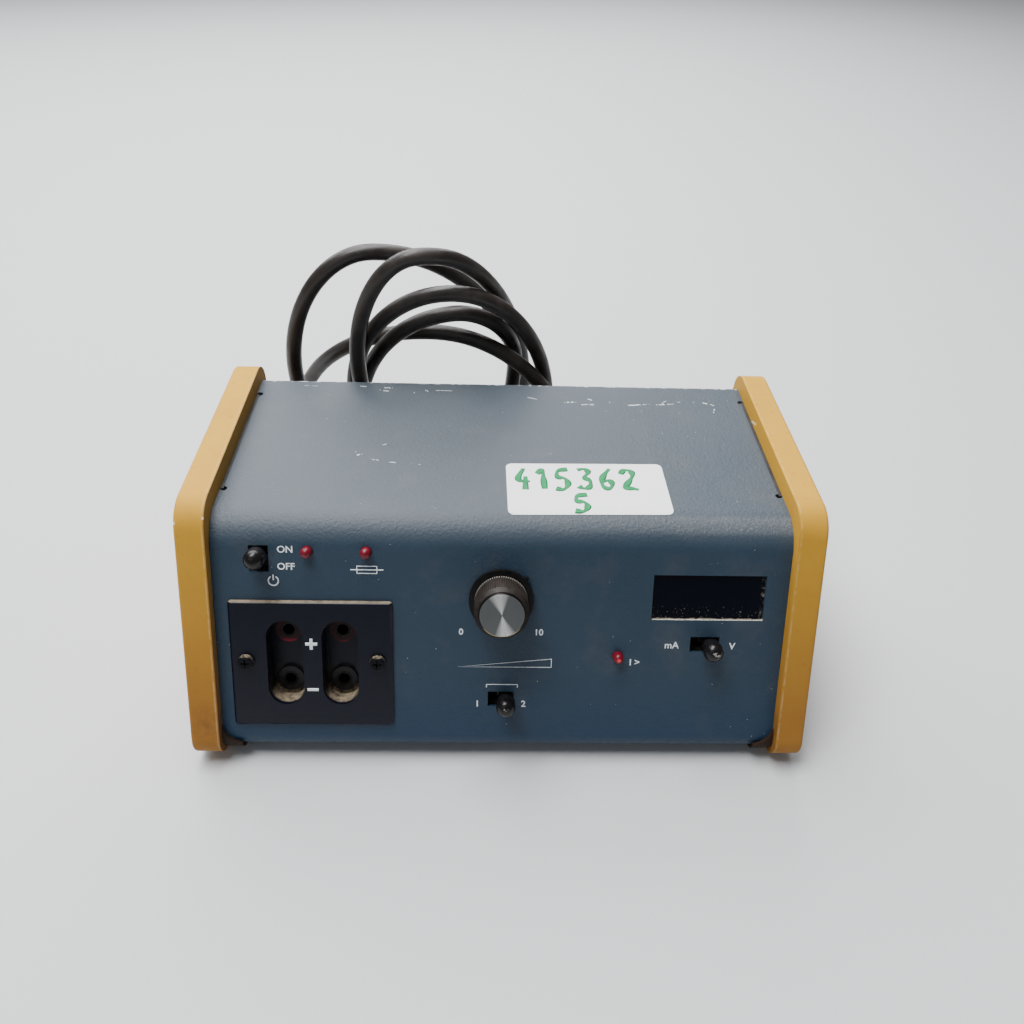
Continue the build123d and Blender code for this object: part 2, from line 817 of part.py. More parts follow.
# Slide switches: a body on the front board and a lever with a thick domed cap
switches = [
    ("power", power_x, power_u, 90),
    ("range", range_x, range_u, 0),
    ("meter", meter_x, meter_u, 0),
]
for name, x, u, turn in switches:
    switch_plane = panel_plane(x, u, -sheet - switch_body_top, turn)
    cap_foot = sheet + switch_body_top + lever_cap_low
    pocket_length = lever_slider_length + switch_travel + 3 * lever_slider_clearance
    with BuildPart() as switch_body:
        with BuildSketch(switch_plane):
            Rectangle(switch_body_length, switch_body_width)
        extrude(amount=switch_body_top - board_gap)
        with BuildSketch(switch_plane):
            Rectangle(pocket_length, lever_slider_width + 2 * lever_slider_clearance)
        extrude(amount=-lever_slider_depth - lever_slider_clearance, mode=Mode.SUBTRACT)
    save(switch_body.part, name + "_switch_body")
    with BuildPart() as switch_lever:
        with BuildSketch(switch_plane):
            with Locations((switch_travel / 2, 0)):
                Rectangle(lever_slider_length, lever_slider_width)
        extrude(amount=-lever_slider_depth)
        with BuildSketch(switch_plane):
            with Locations((switch_travel / 2, 0)):
                Circle(lever_stem_diameter / 2)
        extrude(amount=cap_foot)
        with BuildSketch(switch_plane.offset(cap_foot)):
            with Locations((switch_travel / 2, 0)):
                Circle(lever_cap_diameter / 2)
        extrude(amount=lever_cap_high - lever_cap_low)
        cap_rims = edges().filter_by(GeomType.CIRCLE).sort_by(SortBy.RADIUS)[-2:]
        low_rim, high_rim = cap_rims.sort_by(Axis(switch_plane.origin, switch_plane.z_dir))
        fillet(high_rim, lever_cap_crown)
        cap_rims = edges().filter_by(GeomType.CIRCLE).sort_by(SortBy.RADIUS)[-2:]
        low_rim = cap_rims.sort_by(Axis(switch_plane.origin, switch_plane.z_dir))[0]
        fillet(low_rim, lever_cap_round)
    save(switch_lever.part, name + "_switch_lever")

# Lamps: red domed indicators on the front board
with BuildPart() as lamps:
    with BuildSketch(panel.offset(-sheet - board_gap)):
        with Locations(*lamp_places):
            Circle(lamp_diameter / 2)
    extrude(amount=board_gap + sheet + lamp_rise)
    fillet(faces().sort_by(Axis(panel.origin, panel.z_dir))[-3:].edges(), lamp_crown)
save(lamps.part, "lamps")

# Display: a tinted window behind the cover, and the digit module on the front board
with BuildPart() as display_window:
    with BuildSketch(panel.offset(-sheet)):
        with Locations(window_middle):
            Rectangle(window_width + 2 * window_lap, window_length + 2 * window_lap)
    extrude(amount=-window_thickness)
save(display_window.part, "display_window")
with BuildPart() as display_module:
    with BuildSketch(panel.offset(-sheet - board_gap)):
        with Locations(window_middle):
            Rectangle(window_width - 2 * display_side_inset, window_length + 2 * display_end_lap)
    extrude(amount=board_gap - window_thickness - display_gap)
save(display_module.part, "display_module")

# Potentiometer: body and threaded bush, nut outside the panel, shaft in the bush
knob_plane = panel_plane(knob_x, knob_u, 0)
pot_bore_floor = -sheet - board_gap + pot_floor
with BuildPart() as pot_body:
    with BuildSketch(knob_plane.offset(-sheet)):
        Circle(pot_diameter / 2)
    extrude(amount=-board_gap)
    with BuildSketch(knob_plane.offset(-sheet)):
        Circle(pot_bush_diameter / 2)
    extrude(amount=sheet + pot_bush_top)
    with BuildSketch(knob_plane.offset(pot_bush_top)):
        Circle(shaft_diameter / 2 + shaft_clearance)
    extrude(amount=pot_bore_floor - pot_bush_top, mode=Mode.SUBTRACT)
save(pot_body.part, "pot_body")
with BuildPart() as pot_nut:
    with BuildSketch(knob_plane):
        RegularPolygon(pot_nut_width / 2, 6, major_radius=False)
        Circle(pot_bush_diameter / 2 + hole_clearance / 2, mode=Mode.SUBTRACT)
    extrude(amount=pot_nut_height)
save(pot_nut.part, "pot_nut")
shaft_foot = pot_bore_floor + shaft_end_gap
with BuildPart() as pot_shaft:
    with BuildSketch(knob_plane.offset(shaft_foot)):
        Circle(shaft_diameter / 2)
    extrude(amount=shaft_top - shaft_foot)
save(pot_shaft.part, "pot_shaft")

# Knob: black moulding with a ribbed grip, a skirt with a pointer, and a turned metal cap
pointer_plane = panel_plane(knob_x, knob_u, 0, 90 - knob_pointer_angle)
pointer_foot = skirt_diameter / 2 - pointer_root
with BuildPart() as knob_body:
    with BuildSketch(pointer_plane.offset(skirt_gap)):
        Circle(skirt_diameter / 2)
        with BuildLine():
            Polyline(
                (pointer_foot, -pointer_width / 2),
                (pointer_reach, 0),
                (pointer_foot, pointer_width / 2),
                close=True,
            )
        make_face()
    extrude(amount=skirt_thickness)
    grip_foot = skirt_gap + skirt_thickness
    with BuildSketch(pointer_plane.offset(grip_foot)):
        Circle(knob_body_diameter / 2)
        rib_step = math.pi * knob_body_diameter / knob_rib_count
        with PolarLocations(knob_body_diameter / 2, knob_rib_count):
            Rectangle(2 * knob_rib_depth, rib_step / 2, mode=Mode.SUBTRACT)
    extrude(amount=knob_knurl_height)
    with BuildSketch(pointer_plane.offset(grip_foot + knob_knurl_height)):
        Circle(knob_body_diameter / 2)
    with BuildSketch(pointer_plane.offset(knob_body_top)):
        Circle(knob_neck_diameter / 2)
    loft()
    with BuildSketch(pointer_plane.offset(skirt_gap)):
        Circle(knob_recess_diameter / 2)
    extrude(amount=knob_recess_depth, mode=Mode.SUBTRACT)
    with BuildSketch(pointer_plane.offset(skirt_gap)):
        Circle(shaft_diameter / 2 + shaft_clearance)
    extrude(amount=shaft_top - skirt_gap, mode=Mode.SUBTRACT)
    screw_axis = Plane(
        pointer_plane.from_local_coords(Vector(0, 0, set_screw_height)),
        pointer_plane.z_dir,
        -pointer_plane.x_dir,
    )
    with BuildSketch(screw_axis):
        Circle(screw_diameter / 2 + hole_clearance)
    extrude(amount=knob_body_diameter, mode=Mode.SUBTRACT)
save(knob_body.part, "knob_body")
screw_foot = shaft_diameter / 2 + set_screw_gap
with BuildPart() as knob_set_screw:
    with BuildSketch(screw_axis.offset(screw_foot)):
        Circle(screw_diameter / 2)
    extrude(amount=set_screw_length)
    with BuildSketch(screw_axis.offset(screw_foot + set_screw_length)):
        Rectangle(set_screw_slot_width, screw_diameter)
    extrude(amount=-set_screw_slot_depth, mode=Mode.SUBTRACT)
save(knob_set_screw.part, "knob_set_screw")
with BuildPart() as knob_cap:
    with BuildSketch(pointer_plane.offset(knob_body_top)):
        Circle(knob_cap_diameter / 2)
    extrude(amount=knob_cap_thickness)
    cap_rims = edges().filter_by(GeomType.CIRCLE).sort_by(Axis(knob_plane.origin, knob_plane.z_dir))
    chamfer(cap_rims[-1], knob_cap_bevel)
save(knob_cap.part, "knob_cap")

# Main board on four standoffs, beside the transformer
core_left = core_inset - inner_face
core_right = core_left + core_width
core_x = (core_left + core_right) / 2
core_back = rear_face - core_back_gap
core_front = core_back - core_depth
core_y = y_at((core_front + core_back) / 2)
main_board_left = core_right + main_board_gap
main_board_right = inner_face - main_board_inset
main_board_back = rear_face - main_board_back_gap
main_board_front = main_board_back - main_board_depth
board_low = floor_top + standoff_height
board_top = board_low + board_thickness
standoff_points = [
    (x, y_at(depth))
    for x in (main_board_left + standoff_inset, main_board_right - standoff_inset)
    for depth in (main_board_front + standoff_inset, main_board_back - standoff_inset)
]
with BuildPart() as standoffs:
    with BuildSketch(Plane.XY.offset(z_at(floor_top))):
        with Locations(*standoff_points):
            RegularPolygon(standoff_diameter / 2, 6)
    extrude(amount=standoff_height)
    with BuildSketch(Plane.XY.offset(z_at(board_low))):
        with Locations(*standoff_points):
            Circle(screw_diameter / 2)
    extrude(amount=board_thickness + board_screw_end)
save(standoffs.part, "standoffs")
with BuildPart() as main_board:
    with BuildSketch(Plane.XY.offset(z_at(board_low))):
        with Locations(
            ((main_board_left + main_board_right) / 2, y_at((main_board_front + main_board_back) / 2))
        ):
            Rectangle(main_board_right - main_board_left, main_board_depth)
        with Locations(*standoff_points):
            Circle(screw_diameter / 2 + hole_clearance, mode=Mode.SUBTRACT)
    extrude(amount=board_thickness)
save(main_board.part, "main_board")

# Transformer: laminated core, winding on its middle leg, and a strap down to the base
with BuildPart() as transformer_core:
    with BuildSketch(Plane.XZ.offset(-y_at(core_front))):
        with Locations((core_x, z_at(floor_top + core_height / 2))):
            Rectangle(core_width, core_height)
        window_wide = (core_width - 4 * core_leg) / 2
        for way in (-1, 1):
            with Locations((core_x + way * (core_leg + window_wide / 2), z_at(floor_top + core_height / 2))):
                Rectangle(window_wide, core_height - 2 * core_leg, mode=Mode.SUBTRACT)
    extrude(amount=-core_depth)
save(transformer_core.part, "transformer_core")
winding_wide = 2 * core_leg + 2 * (window_wide - winding_gap)
with BuildPart() as transformer_winding:
    with BuildSketch(Plane.XY.offset(z_at(floor_top + core_leg + winding_gap))):
        with Locations((core_x, core_y)):
            RectangleRounded(winding_wide, core_depth + 2 * winding_side, winding_side)
            Rectangle(2 * core_leg + 2 * winding_gap, core_depth + 2 * winding_gap, mode=Mode.SUBTRACT)
    extrude(amount=core_height - 2 * core_leg - 2 * winding_gap)
save(transformer_winding.part, "transformer_winding")
with BuildPart() as transformer_strap:
    with BuildSketch(Plane.XZ.offset(-core_y + core_leg)):
        with BuildLine():
            inner_half = core_width / 2 + strap_gap
            outer_half = inner_half + strap_thickness
            strap_top = z_at(floor_top + core_height) + strap_gap
            Polyline(
                (core_x - outer_half - strap_foot, z_at(floor_top)),
                (core_x - outer_half - strap_foot, z_at(floor_top) + strap_thickness),
                (core_x - outer_half, z_at(floor_top) + strap_thickness),
                (core_x - outer_half, strap_top + strap_thickness),
                (core_x + outer_half, strap_top + strap_thickness),
                (core_x + outer_half, z_at(floor_top)),
                (core_x + inner_half, z_at(floor_top)),
                (core_x + inner_half, strap_top),
                (core_x - inner_half, strap_top),
                (core_x - inner_half, z_at(floor_top)),
                close=True,
            )
        make_face()
    extrude(amount=-2 * core_leg)
save(transformer_strap.part, "transformer_strap")

# Capacitors, heat sink and transistors on the main board
capacitor_y = y_at(main_board_front + capacitor_setback)
sink_right = main_board_right - sink_inset
sink_left = sink_right - sink_width
sink_depth = main_board_back - sink_back_inset
with BuildPart() as capacitors:
    with BuildSketch(Plane.XY.offset(z_at(board_top))):
        for offset in (0, capacitor_pitch):
            with Locations((main_board_left + capacitor_inset + offset, capacitor_y)):
                Circle(capacitor_diameter / 2)
    extrude(amount=capacitor_height)
    fillet(edges().filter_by(GeomType.CIRCLE).group_by(Axis.Z)[-1], capacitor_round)
save(capacitors.part, "capacitors")
with BuildPart() as heat_sink:
    with BuildSketch(Plane.XY.offset(z_at(board_top))):
        with Locations(((sink_left + sink_right) / 2, y_at(sink_depth))):
            Rectangle(sink_width, sink_plate)
        fin_count = int(sink_width / sink_fin_pitch)
        with Locations(((sink_left + sink_right) / 2, y_at(sink_depth + sink_fin_length / 2))):
            with GridLocations(sink_fin_pitch, 1, fin_count, 1):
                Rectangle(sink_fin_thickness, sink_fin_length)
    extrude(amount=sink_height)
save(heat_sink.part, "heat_sink")
with BuildPart() as transistors:
    with BuildSketch(Plane.XY.offset(z_at(board_top))):
        for offset in (0, transistor_pitch):
            transistor_x = sink_left + transistor_inset + offset
            with Locations((transistor_x, y_at(sink_depth - sink_plate / 2 - transistor_depth / 2))):
                Rectangle(transistor_width, transistor_depth)
    extrude(amount=transistor_height)
save(transistors.part, "transistors")

# Fuse holder: barrel through the rear panel with a nut inside, fuse, and a bayonet cap
fuse_plane = Plane(
    origin=(fuse_x, y_at(rear_face), z_at(fuse_z)),
    x_dir=(1, 0, 0),
    z_dir=(0, 1, 0),
)
holder_bore = fuse_cap_stem_diameter / 2 + fuse_clearance
cap_seat = holder_flange_thickness + rest_gap
fuse_out = cap_seat - fuse_cap_stem_length + fuse_pocket - fuse_end_gap
bore_end = fuse_out - fuse_length - rest_gap
with BuildPart() as fuse_holder:
    with BuildSketch(fuse_plane):
        Circle(holder_flange_diameter / 2)
    extrude(amount=holder_flange_thickness)
    with BuildSketch(fuse_plane):
        Circle(holder_barrel_diameter / 2)
    extrude(amount=bore_end - holder_end_wall)
    with BuildSketch(fuse_plane.offset(holder_flange_thickness)):
        Circle(holder_bore)
    extrude(amount=bore_end - holder_flange_thickness, mode=Mode.SUBTRACT)
save(fuse_holder.part, "fuse_holder")
with BuildPart() as fuse_holder_nut:
    with BuildSketch(fuse_plane.offset(-sheet)):
        RegularPolygon(holder_nut_width / 2, 6, major_radius=False)
        Circle(holder_barrel_diameter / 2 + hole_clearance, mode=Mode.SUBTRACT)
    extrude(amount=-holder_nut_height)
save(fuse_holder_nut.part, "fuse_holder_nut")
with BuildPart() as fuse_cap:
    with BuildSketch(fuse_plane.offset(cap_seat)):
        Circle(fuse_cap_diameter / 2)
    extrude(amount=fuse_cap_length)
    with BuildSketch(fuse_plane.offset(cap_seat)):
        Circle(fuse_cap_stem_diameter / 2)
    extrude(amount=-fuse_cap_stem_length)
    with BuildSketch(fuse_plane.offset(cap_seat - fuse_cap_stem_length)):
        Circle(fuse_diameter / 2 + fuse_seat_gap)
    extrude(amount=fuse_pocket, mode=Mode.SUBTRACT)
    with BuildSketch(fuse_plane.offset(cap_seat + fuse_cap_length)):
        for way in (-1, 1):
            with Locations((0, way * (fuse_cap_grip + fuse_cap_diameter) / 2)):
                Rectangle(fuse_cap_diameter, fuse_cap_diameter)
    extrude(amount=-fuse_cap_grip_length, mode=Mode.SUBTRACT)
save(fuse_cap.part, "fuse_cap")
with BuildPart() as fuse:
    with BuildSketch(fuse_plane.offset(fuse_out)):
        Circle(fuse_diameter / 2)
    extrude(amount=-fuse_length)
save(fuse.part, "fuse")

# Strain relief: moulded grommet in the rear panel with a tapered boot
relief_plane = Plane(
    origin=(cord_exit_x, y_at(rear_face), z_at(cord_exit_z)),
    x_dir=(1, 0, 0),
    z_dir=(0, 1, 0),
)
with BuildPart() as strain_relief:
    with BuildSketch(relief_plane):
        Circle(relief_flange_diameter / 2)
    extrude(amount=relief_flange_thickness)
    with BuildSketch(relief_plane):
        Circle(relief_body_diameter / 2)
    extrude(amount=-relief_inner_length)
    with BuildSketch(relief_plane.offset(relief_flange_thickness)):
        Circle(relief_boot_base_diameter / 2)
    with BuildSketch(relief_plane.offset(relief_boot_length)):
        Circle(relief_boot_tip_diameter / 2)
    loft()
save(strain_relief.part, "strain_relief")


# Cord: one length from the strain relief through the coil to the plug
def turn_radii(points):
    """Largest arc at each corner of a route, from its shorter run."""
    radii = []
    for a, b, c in zip(points, points[1:], points[2:]):
        into = Vector(*b) - Vector(*a)
        away = Vector(*c) - Vector(*b)
        half = math.radians(into.get_angle(away)) / 2
        radii.append(0.45 * min(into.length, away.length) / math.tan(half))
    return radii


def cord_tube(points, label):
    """Tube of straight runs and tangent arcs along a route."""
    radii = turn_radii(points)
    with BuildPart() as tube:
        with BuildLine() as route:
            FilletPolyline(*points, radius=radii)
        with BuildSketch(Plane(origin=points[0], z_dir=Vector(*points[1]) - Vector(*points[0]))):
            Circle(cord_diameter / 2)
        sweep()
    length = sum(edge.length for edge in route.edges())
    section = math.pi * cord_diameter**2 / 4
    print(label, "radii", [round(radius, 1) for radius in radii])
    print(label, "length", round(length, 1), "volume / (section x length)",
          round(tube.part.volume / section / length, 4))
    save(tube.part, label)


# Each turn of the coil: bottom, left, top and right node, as place across and along the
# leaning plane, and the lane that the strand runs in there
coil_turns = [
    [(-32, 0, 7.5), (-97.9, 26.9, 5.23), (-23.9, 96.5, 2.46), (30.2, 38.5, -0.18)],
    [(-20, 0, -1.23), (-60.9, 86.6, 0.33), (-32.8, 138.8, 1.17), (12.1, 42.7, 4.83)],
    [(-38, 0, 2.01), (-90.6, 73.7, 1.7), (-54.2, 133.3, 3.28), (10.7, 41.2, 6.0)],
    [(-26, 0, 6.34), (-64.9, 45.0, 2.6), (-20.8, 108.0, 2.12), (6.2, 80.3, 2.72)],
    [(-33, 0, 0.57), (-65.4, 65.3, 1.28), (-20.8, 120.5, 1.56), (21.2, 57.0, 2.08)],
]
coil_tilt = math.radians(coil_lean)
coil_foot_y = y_at(cover_back + coil_foot_gap)
coil_up = Vector(0, -math.sin(coil_tilt), math.cos(coil_tilt))
coil_out = Vector(0, math.cos(coil_tilt), math.sin(coil_tilt))
quarter_ways = [Vector(-1, 0, 0), coil_up, Vector(1, 0, 0), -coil_up]


def coil_point(across, up, lane):
    """Centre of the cord at a node of the coil."""
    return Vector(
        across,
        coil_foot_y + lane * strand_pitch * math.cos(coil_tilt) - up * math.sin(coil_tilt),
        cord_diameter / 2 + coil_lift + up * math.cos(coil_tilt),
    )


coil_nodes = [coil_point(*node) for turn in coil_turns for node in turn]
coil_ways = []
for index, node in enumerate(coil_nodes):
    way = quarter_ways[index % 4]
    if 0 < index < len(coil_nodes) - 1:
        before = coil_nodes[index - 1]
        after = coil_nodes[index + 1]
        run = 1.15 * ((after - node).length + (node - before).length)
        way = way + coil_out * ((after - before).dot(coil_out) / run)
    coil_ways.append(way.normalized())


def biarc_joint(start, start_way, end, end_way):
    """Point where the two arcs of a quarter turn meet."""
    chord = end - start
    along = chord.dot(start_way)
    rise = chord.dot(end_way)
    first = along * (0.414 + 0.10 * (along - rise) / (along + rise))
    last = (chord.dot(chord) - 2 * first * along) / (2 * (rise + first * (1 - start_way.dot(end_way))))
    corner_in = start + start_way * first
    corner_out = end - end_way * last
    return corner_in + (corner_out - corner_in) * (first / (first + last))


coil_start = coil_nodes[0] - coil_ways[0] * cord_diameter
coil_end = coil_nodes[-1] + coil_ways[-1] * cord_diameter
with BuildPart() as cord_coil:
    with BuildLine() as coil_route:
        Line(coil_start, coil_nodes[0])
        for index in range(len(coil_nodes) - 1):
            start = coil_nodes[index]
            end = coil_nodes[index + 1]
            joint = biarc_joint(start, coil_ways[index], end, coil_ways[index + 1])
            chord = (joint - start).normalized()
            joint_way = chord * (2 * chord.dot(coil_ways[index])) - coil_ways[index]
            TangentArc(start, joint, tangent=coil_ways[index])
            TangentArc(joint, end, tangent=joint_way)
        Line(coil_nodes[-1], coil_end)
    with BuildSketch(Plane(origin=coil_start, z_dir=coil_ways[0])):
        Circle(cord_diameter / 2)
    sweep()
coil_edges = coil_route.edges()
coil_length = sum(edge.length for edge in coil_edges)
coil_radii = [edge.radius for edge in coil_edges if edge.geom_type == GeomType.CIRCLE]
coil_trail = []
for edge in coil_edges:
    steps = max(2, int(edge.length / 2.5))
    coil_trail += [edge @ (step / steps) for step in range(steps)]
coil_gap = min(
    (a - b).length - cord_diameter
    for i, a in enumerate(coil_trail)
    for b in coil_trail[i + 14:]
)
coil_section = math.pi * cord_diameter**2 / 4
print("cord_coil least radius", round(min(coil_radii), 1), "least gap to itself", round(coil_gap, 2))
print("cord_coil length", round(coil_length, 1), "volume / (section x length)",
      round(cord_coil.part.volume / coil_section / coil_length, 4))
save(cord_coil.part, "cord_coil")

# The lead leaves the boot, swings round behind the coil and comes down to its first turn
lead_points = [
    (cord_exit_x, y_at(rear_face) + relief_boot_length, z_at(cord_exit_z)),
    (cord_exit_x, coil_foot_y + 11.4, 48.5),
    (cord_exit_x - 4.4, coil_foot_y + 27.6, 46.6),
    (cord_exit_x - 14.6, coil_foot_y + 41.6, 41.2),
    (50.2, coil_foot_y + 51.4, 32.0),
    (32.2, coil_foot_y + 57.4, 20.8),
    (13.6, coil_foot_y + 59.2, 10.6),
    (-4.6, coil_foot_y + 57.2, 5.0),
    (-15.5, coil_start.Y, coil_start.Z),
    (coil_start.X, coil_start.Y, coil_start.Z),
]
cord_tube(lead_points, "cord_lead")

# The tail comes down from the last turn and bends along the bench to the plug
tail_bend = coil_end + coil_ways[-1] * 12.6
tail_points = [
    (coil_end.X, coil_end.Y, coil_end.Z),
    (tail_bend.X, tail_bend.Y, tail_bend.Z),
    (25.4, coil_foot_y + 11.6, 27.2),
    (34.6, coil_foot_y + 16.0, 16.3),
    (47.8, coil_foot_y + 21.0, 10.8),
    (61.8, coil_foot_y + 26.0, 10.8),
]
cord_tube(tail_points, "cord_tail")

# Plug: moulded body with a boot where the cord goes in, and two flat blades with a pin
plug_way = (Vector(*tail_points[-1]) - Vector(*tail_points[-2])).normalized()
plug_plane = Plane(origin=tail_points[-1], x_dir=(plug_way.Y, -plug_way.X, 0), z_dir=plug_way)
with BuildPart() as plug_body:
    with BuildSketch(plug_plane):
        Circle(plug_boot_tip_diameter / 2)
    with BuildSketch(plug_plane.offset(plug_boot_length)):
        Circle(plug_boot_base_diameter / 2)
    loft()
    with BuildSketch(plug_plane.offset(plug_boot_length)):
        RectangleRounded(plug_neck_width, plug_neck_height, plug_corner)
    with BuildSketch(plug_plane.offset(plug_boot_length + plug_body_length)):
        RectangleRounded(plug_body_width, plug_body_height, plug_corner)
    loft()
save(plug_body.part, "plug_body")
blade_face = plug_plane.offset(plug_boot_length + plug_body_length)
with BuildPart() as plug_blades:
    with BuildSketch(blade_face):
        for way in (-1, 1):
            with Locations((way * plug_blade_spacing / 2, plug_blade_offset)):
                Rectangle(plug_blade_thickness, plug_blade_width)
        with Locations((0, -plug_pin_offset)):
            Circle(plug_pin_diameter / 2)
    extrude(amount=plug_blade_length)
save(plug_blades.part, "plug_blades")

# Label: paper sticker that follows the cover's top bend at its front edge
def label_line(rise):
    """Profile of the sticker, that far off the cover."""
    points = cover_line(-rise, cover_back, cover_return_depth)
    return FilletPolyline(*points[1:], radius=[cover_top_radius + rise])


label_depth = panel_top * math.sin(tilt) + cover_setback / math.cos(tilt) + label_setback
with BuildPart() as top_label:
    with BuildSketch(Plane.YZ.offset(label_x - label_width)):
        with BuildLine():
            under = label_line(0)
            over = label_line(label_thickness)
            Line(under @ 0, over @ 0)
            Line(under @ 1, over @ 1)
        make_face()
    extrude(amount=2 * label_width)
    with BuildSketch(Plane.XY.offset(z_at(cover_top / 2))):
        with Locations(Location((label_x, y_at(label_depth), 0), (0, 0, label_turn))):
            RectangleRounded(label_width, label_length, label_corner)
    extrude(amount=cover_top, mode=Mode.INTERSECT)
save(top_label.part, "top_label")
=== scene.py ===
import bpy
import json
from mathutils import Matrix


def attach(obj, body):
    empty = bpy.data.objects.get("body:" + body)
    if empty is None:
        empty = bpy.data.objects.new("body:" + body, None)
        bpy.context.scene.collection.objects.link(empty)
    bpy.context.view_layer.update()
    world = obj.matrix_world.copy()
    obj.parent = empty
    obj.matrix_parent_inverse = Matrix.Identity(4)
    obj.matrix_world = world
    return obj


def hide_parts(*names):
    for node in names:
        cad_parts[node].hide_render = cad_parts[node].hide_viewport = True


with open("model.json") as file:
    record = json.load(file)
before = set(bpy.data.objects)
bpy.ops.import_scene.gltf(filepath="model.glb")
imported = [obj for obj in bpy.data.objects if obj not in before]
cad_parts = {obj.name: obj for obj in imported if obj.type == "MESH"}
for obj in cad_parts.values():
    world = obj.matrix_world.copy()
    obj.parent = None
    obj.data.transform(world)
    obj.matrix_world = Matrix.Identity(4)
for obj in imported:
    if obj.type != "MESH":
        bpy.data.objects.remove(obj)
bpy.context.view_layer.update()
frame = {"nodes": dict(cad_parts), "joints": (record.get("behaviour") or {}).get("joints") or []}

import json
import math
import random

import bmesh
import bpy
from mathutils import Matrix, Vector

# Camera: held over the middle of the bench's edge, looking down on the sloping panel.
# Its place and angles were worked out from the housing's straight edges.
camera_data = bpy.data.cameras.new("camera")
camera = bpy.data.objects.new("camera", camera_data)
bpy.context.scene.collection.objects.link(camera)
bpy.context.scene.camera = camera
focal_pixels = 866
picture_pixels = 1024
sensor_width = 36.0
camera_data.sensor_width = sensor_width
camera_data.lens = sensor_width * focal_pixels / picture_pixels
camera_data.clip_start = 0.01
camera_pitch = math.radians(39.47)
camera_yaw = math.radians(2.661)
camera_roll = math.radians(-2.465)
camera_at = Vector((-0.00821, -0.25282, 0.27417))
look = Vector((
    math.sin(camera_yaw) * math.cos(camera_pitch),
    math.cos(camera_yaw) * math.cos(camera_pitch),
    -math.sin(camera_pitch),
))
level = Vector((math.cos(camera_yaw), -math.sin(camera_yaw), 0))
down = look.cross(level)
right = level * math.cos(camera_roll) + down * math.sin(camera_roll)
down = down * math.cos(camera_roll) - level * math.sin(camera_roll)
camera.matrix_world = Matrix.Translation(camera_at) @ Matrix((right, -down, -look)).transposed().to_4x4()

# Mains cord: one length of smooth brown-black jacket, from the boot on the rear panel
# through five loose loops that stand on edge behind the housing, to the plug on the bench.
cord_diameter = 0.0066
lead_points = [
    (0.0800, 0.07964, 0.0485),
    (0.0800, 0.09504, 0.0485),
    (0.0756, 0.11124, 0.0466),
    (0.0654, 0.12524, 0.0412),
    (0.0502, 0.13504, 0.0320),
    (0.0322, 0.14104, 0.0208),
    (0.0136, 0.14284, 0.0106),
    (-0.0046, 0.14084, 0.0050),
    (-0.0155, 0.13793, 0.0035),
]
tail_points = [
    (0.0212, 0.09084, 0.04047),
    (0.0254, 0.09524, 0.0272),
    (0.0346, 0.09964, 0.0163),
    (0.0478, 0.10464, 0.0108),
    (0.0618, 0.10964, 0.0108),
]
# Each turn's foot, left side, top and right side: mm across, mm up the lean, and its lane
coil_turns = [
    [(-32, 0, 7.5), (-97.9, 26.9, 5.23), (-23.9, 96.5, 2.46), (30.2, 38.5, -0.18)],
    [(-20, 0, -1.23), (-60.9, 86.6, 0.33), (-32.8, 138.8, 1.17), (12.1, 42.7, 4.83)],
    [(-38, 0, 2.01), (-90.6, 73.7, 1.7), (-54.2, 133.3, 3.28), (10.7, 41.2, 6.0)],
    [(-26, 0, 6.34), (-64.9, 45.0, 2.6), (-20.8, 108.0, 2.12), (6.2, 80.3, 2.72)],
    [(-33, 0, 0.57), (-65.4, 65.3, 1.28), (-20.8, 120.5, 1.56), (21.2, 57.0, 2.08)],
]
coil_lean = math.radians(12)
coil_foot = 0.08364
strand_pitch = 0.0074
coil_up = Vector((0, -math.sin(coil_lean), math.cos(coil_lean)))
coil_out = Vector((0, math.cos(coil_lean), math.sin(coil_lean)))
across = Vector((1, 0, 0))
bench_gap = 0.0002
lane_damping = 1.15
quarter_points = 5


def coil_place(x, up, lane):
    """Centre of the cord at a node of the coil: mm across and up the leaning plane, and its lane."""
    foot = Vector((x / 1000, coil_foot, cord_diameter / 2 + bench_gap))
    depth = lane * strand_pitch * math.cos(coil_lean)
    return foot + coil_up * up / 1000 + Vector((0, depth, 0))


coil_nodes = [coil_place(*node) for turn in coil_turns for node in turn]
# The cord runs left, up, right and down in turn, and on towards the next lane as it goes
coil_ways = []
for index, node in enumerate(coil_nodes):
    way = (-across, coil_up, across, -coil_up)[index % 4].copy()
    if 0 < index < len(coil_nodes) - 1:
        before, after = coil_nodes[index - 1], coil_nodes[index + 1]
        run = lane_damping * ((after - node).length + (node - before).length)
        way += coil_out * (after - before).dot(coil_out) / run
    coil_ways.append(way.normalized())

# Each quarter turn is a quarter ellipse that leaves one node and meets the next
coil_points = []
for start, end, way, next_way in zip(coil_nodes, coil_nodes[1:], coil_ways, coil_ways[1:]):
    span = end - start
    turn = way.dot(next_way)
    first_corner = start + way * (span.dot(way) - span.dot(next_way) * turn) / (1 - turn**2)
    last_corner = end - next_way * (span.dot(next_way) - span.dot(way) * turn) / (1 - turn**2)
    for step in range(quarter_points):
        share = step / quarter_points
        angle = math.pi / 2 * share
        corner = first_corner.lerp(last_corner, share)
        inward = (start - first_corner) * (1 - math.sin(angle))
        outward = (end - last_corner) * (1 - math.cos(angle))
        coil_points.append(corner + inward + outward)
coil_points.append(coil_nodes[-1])

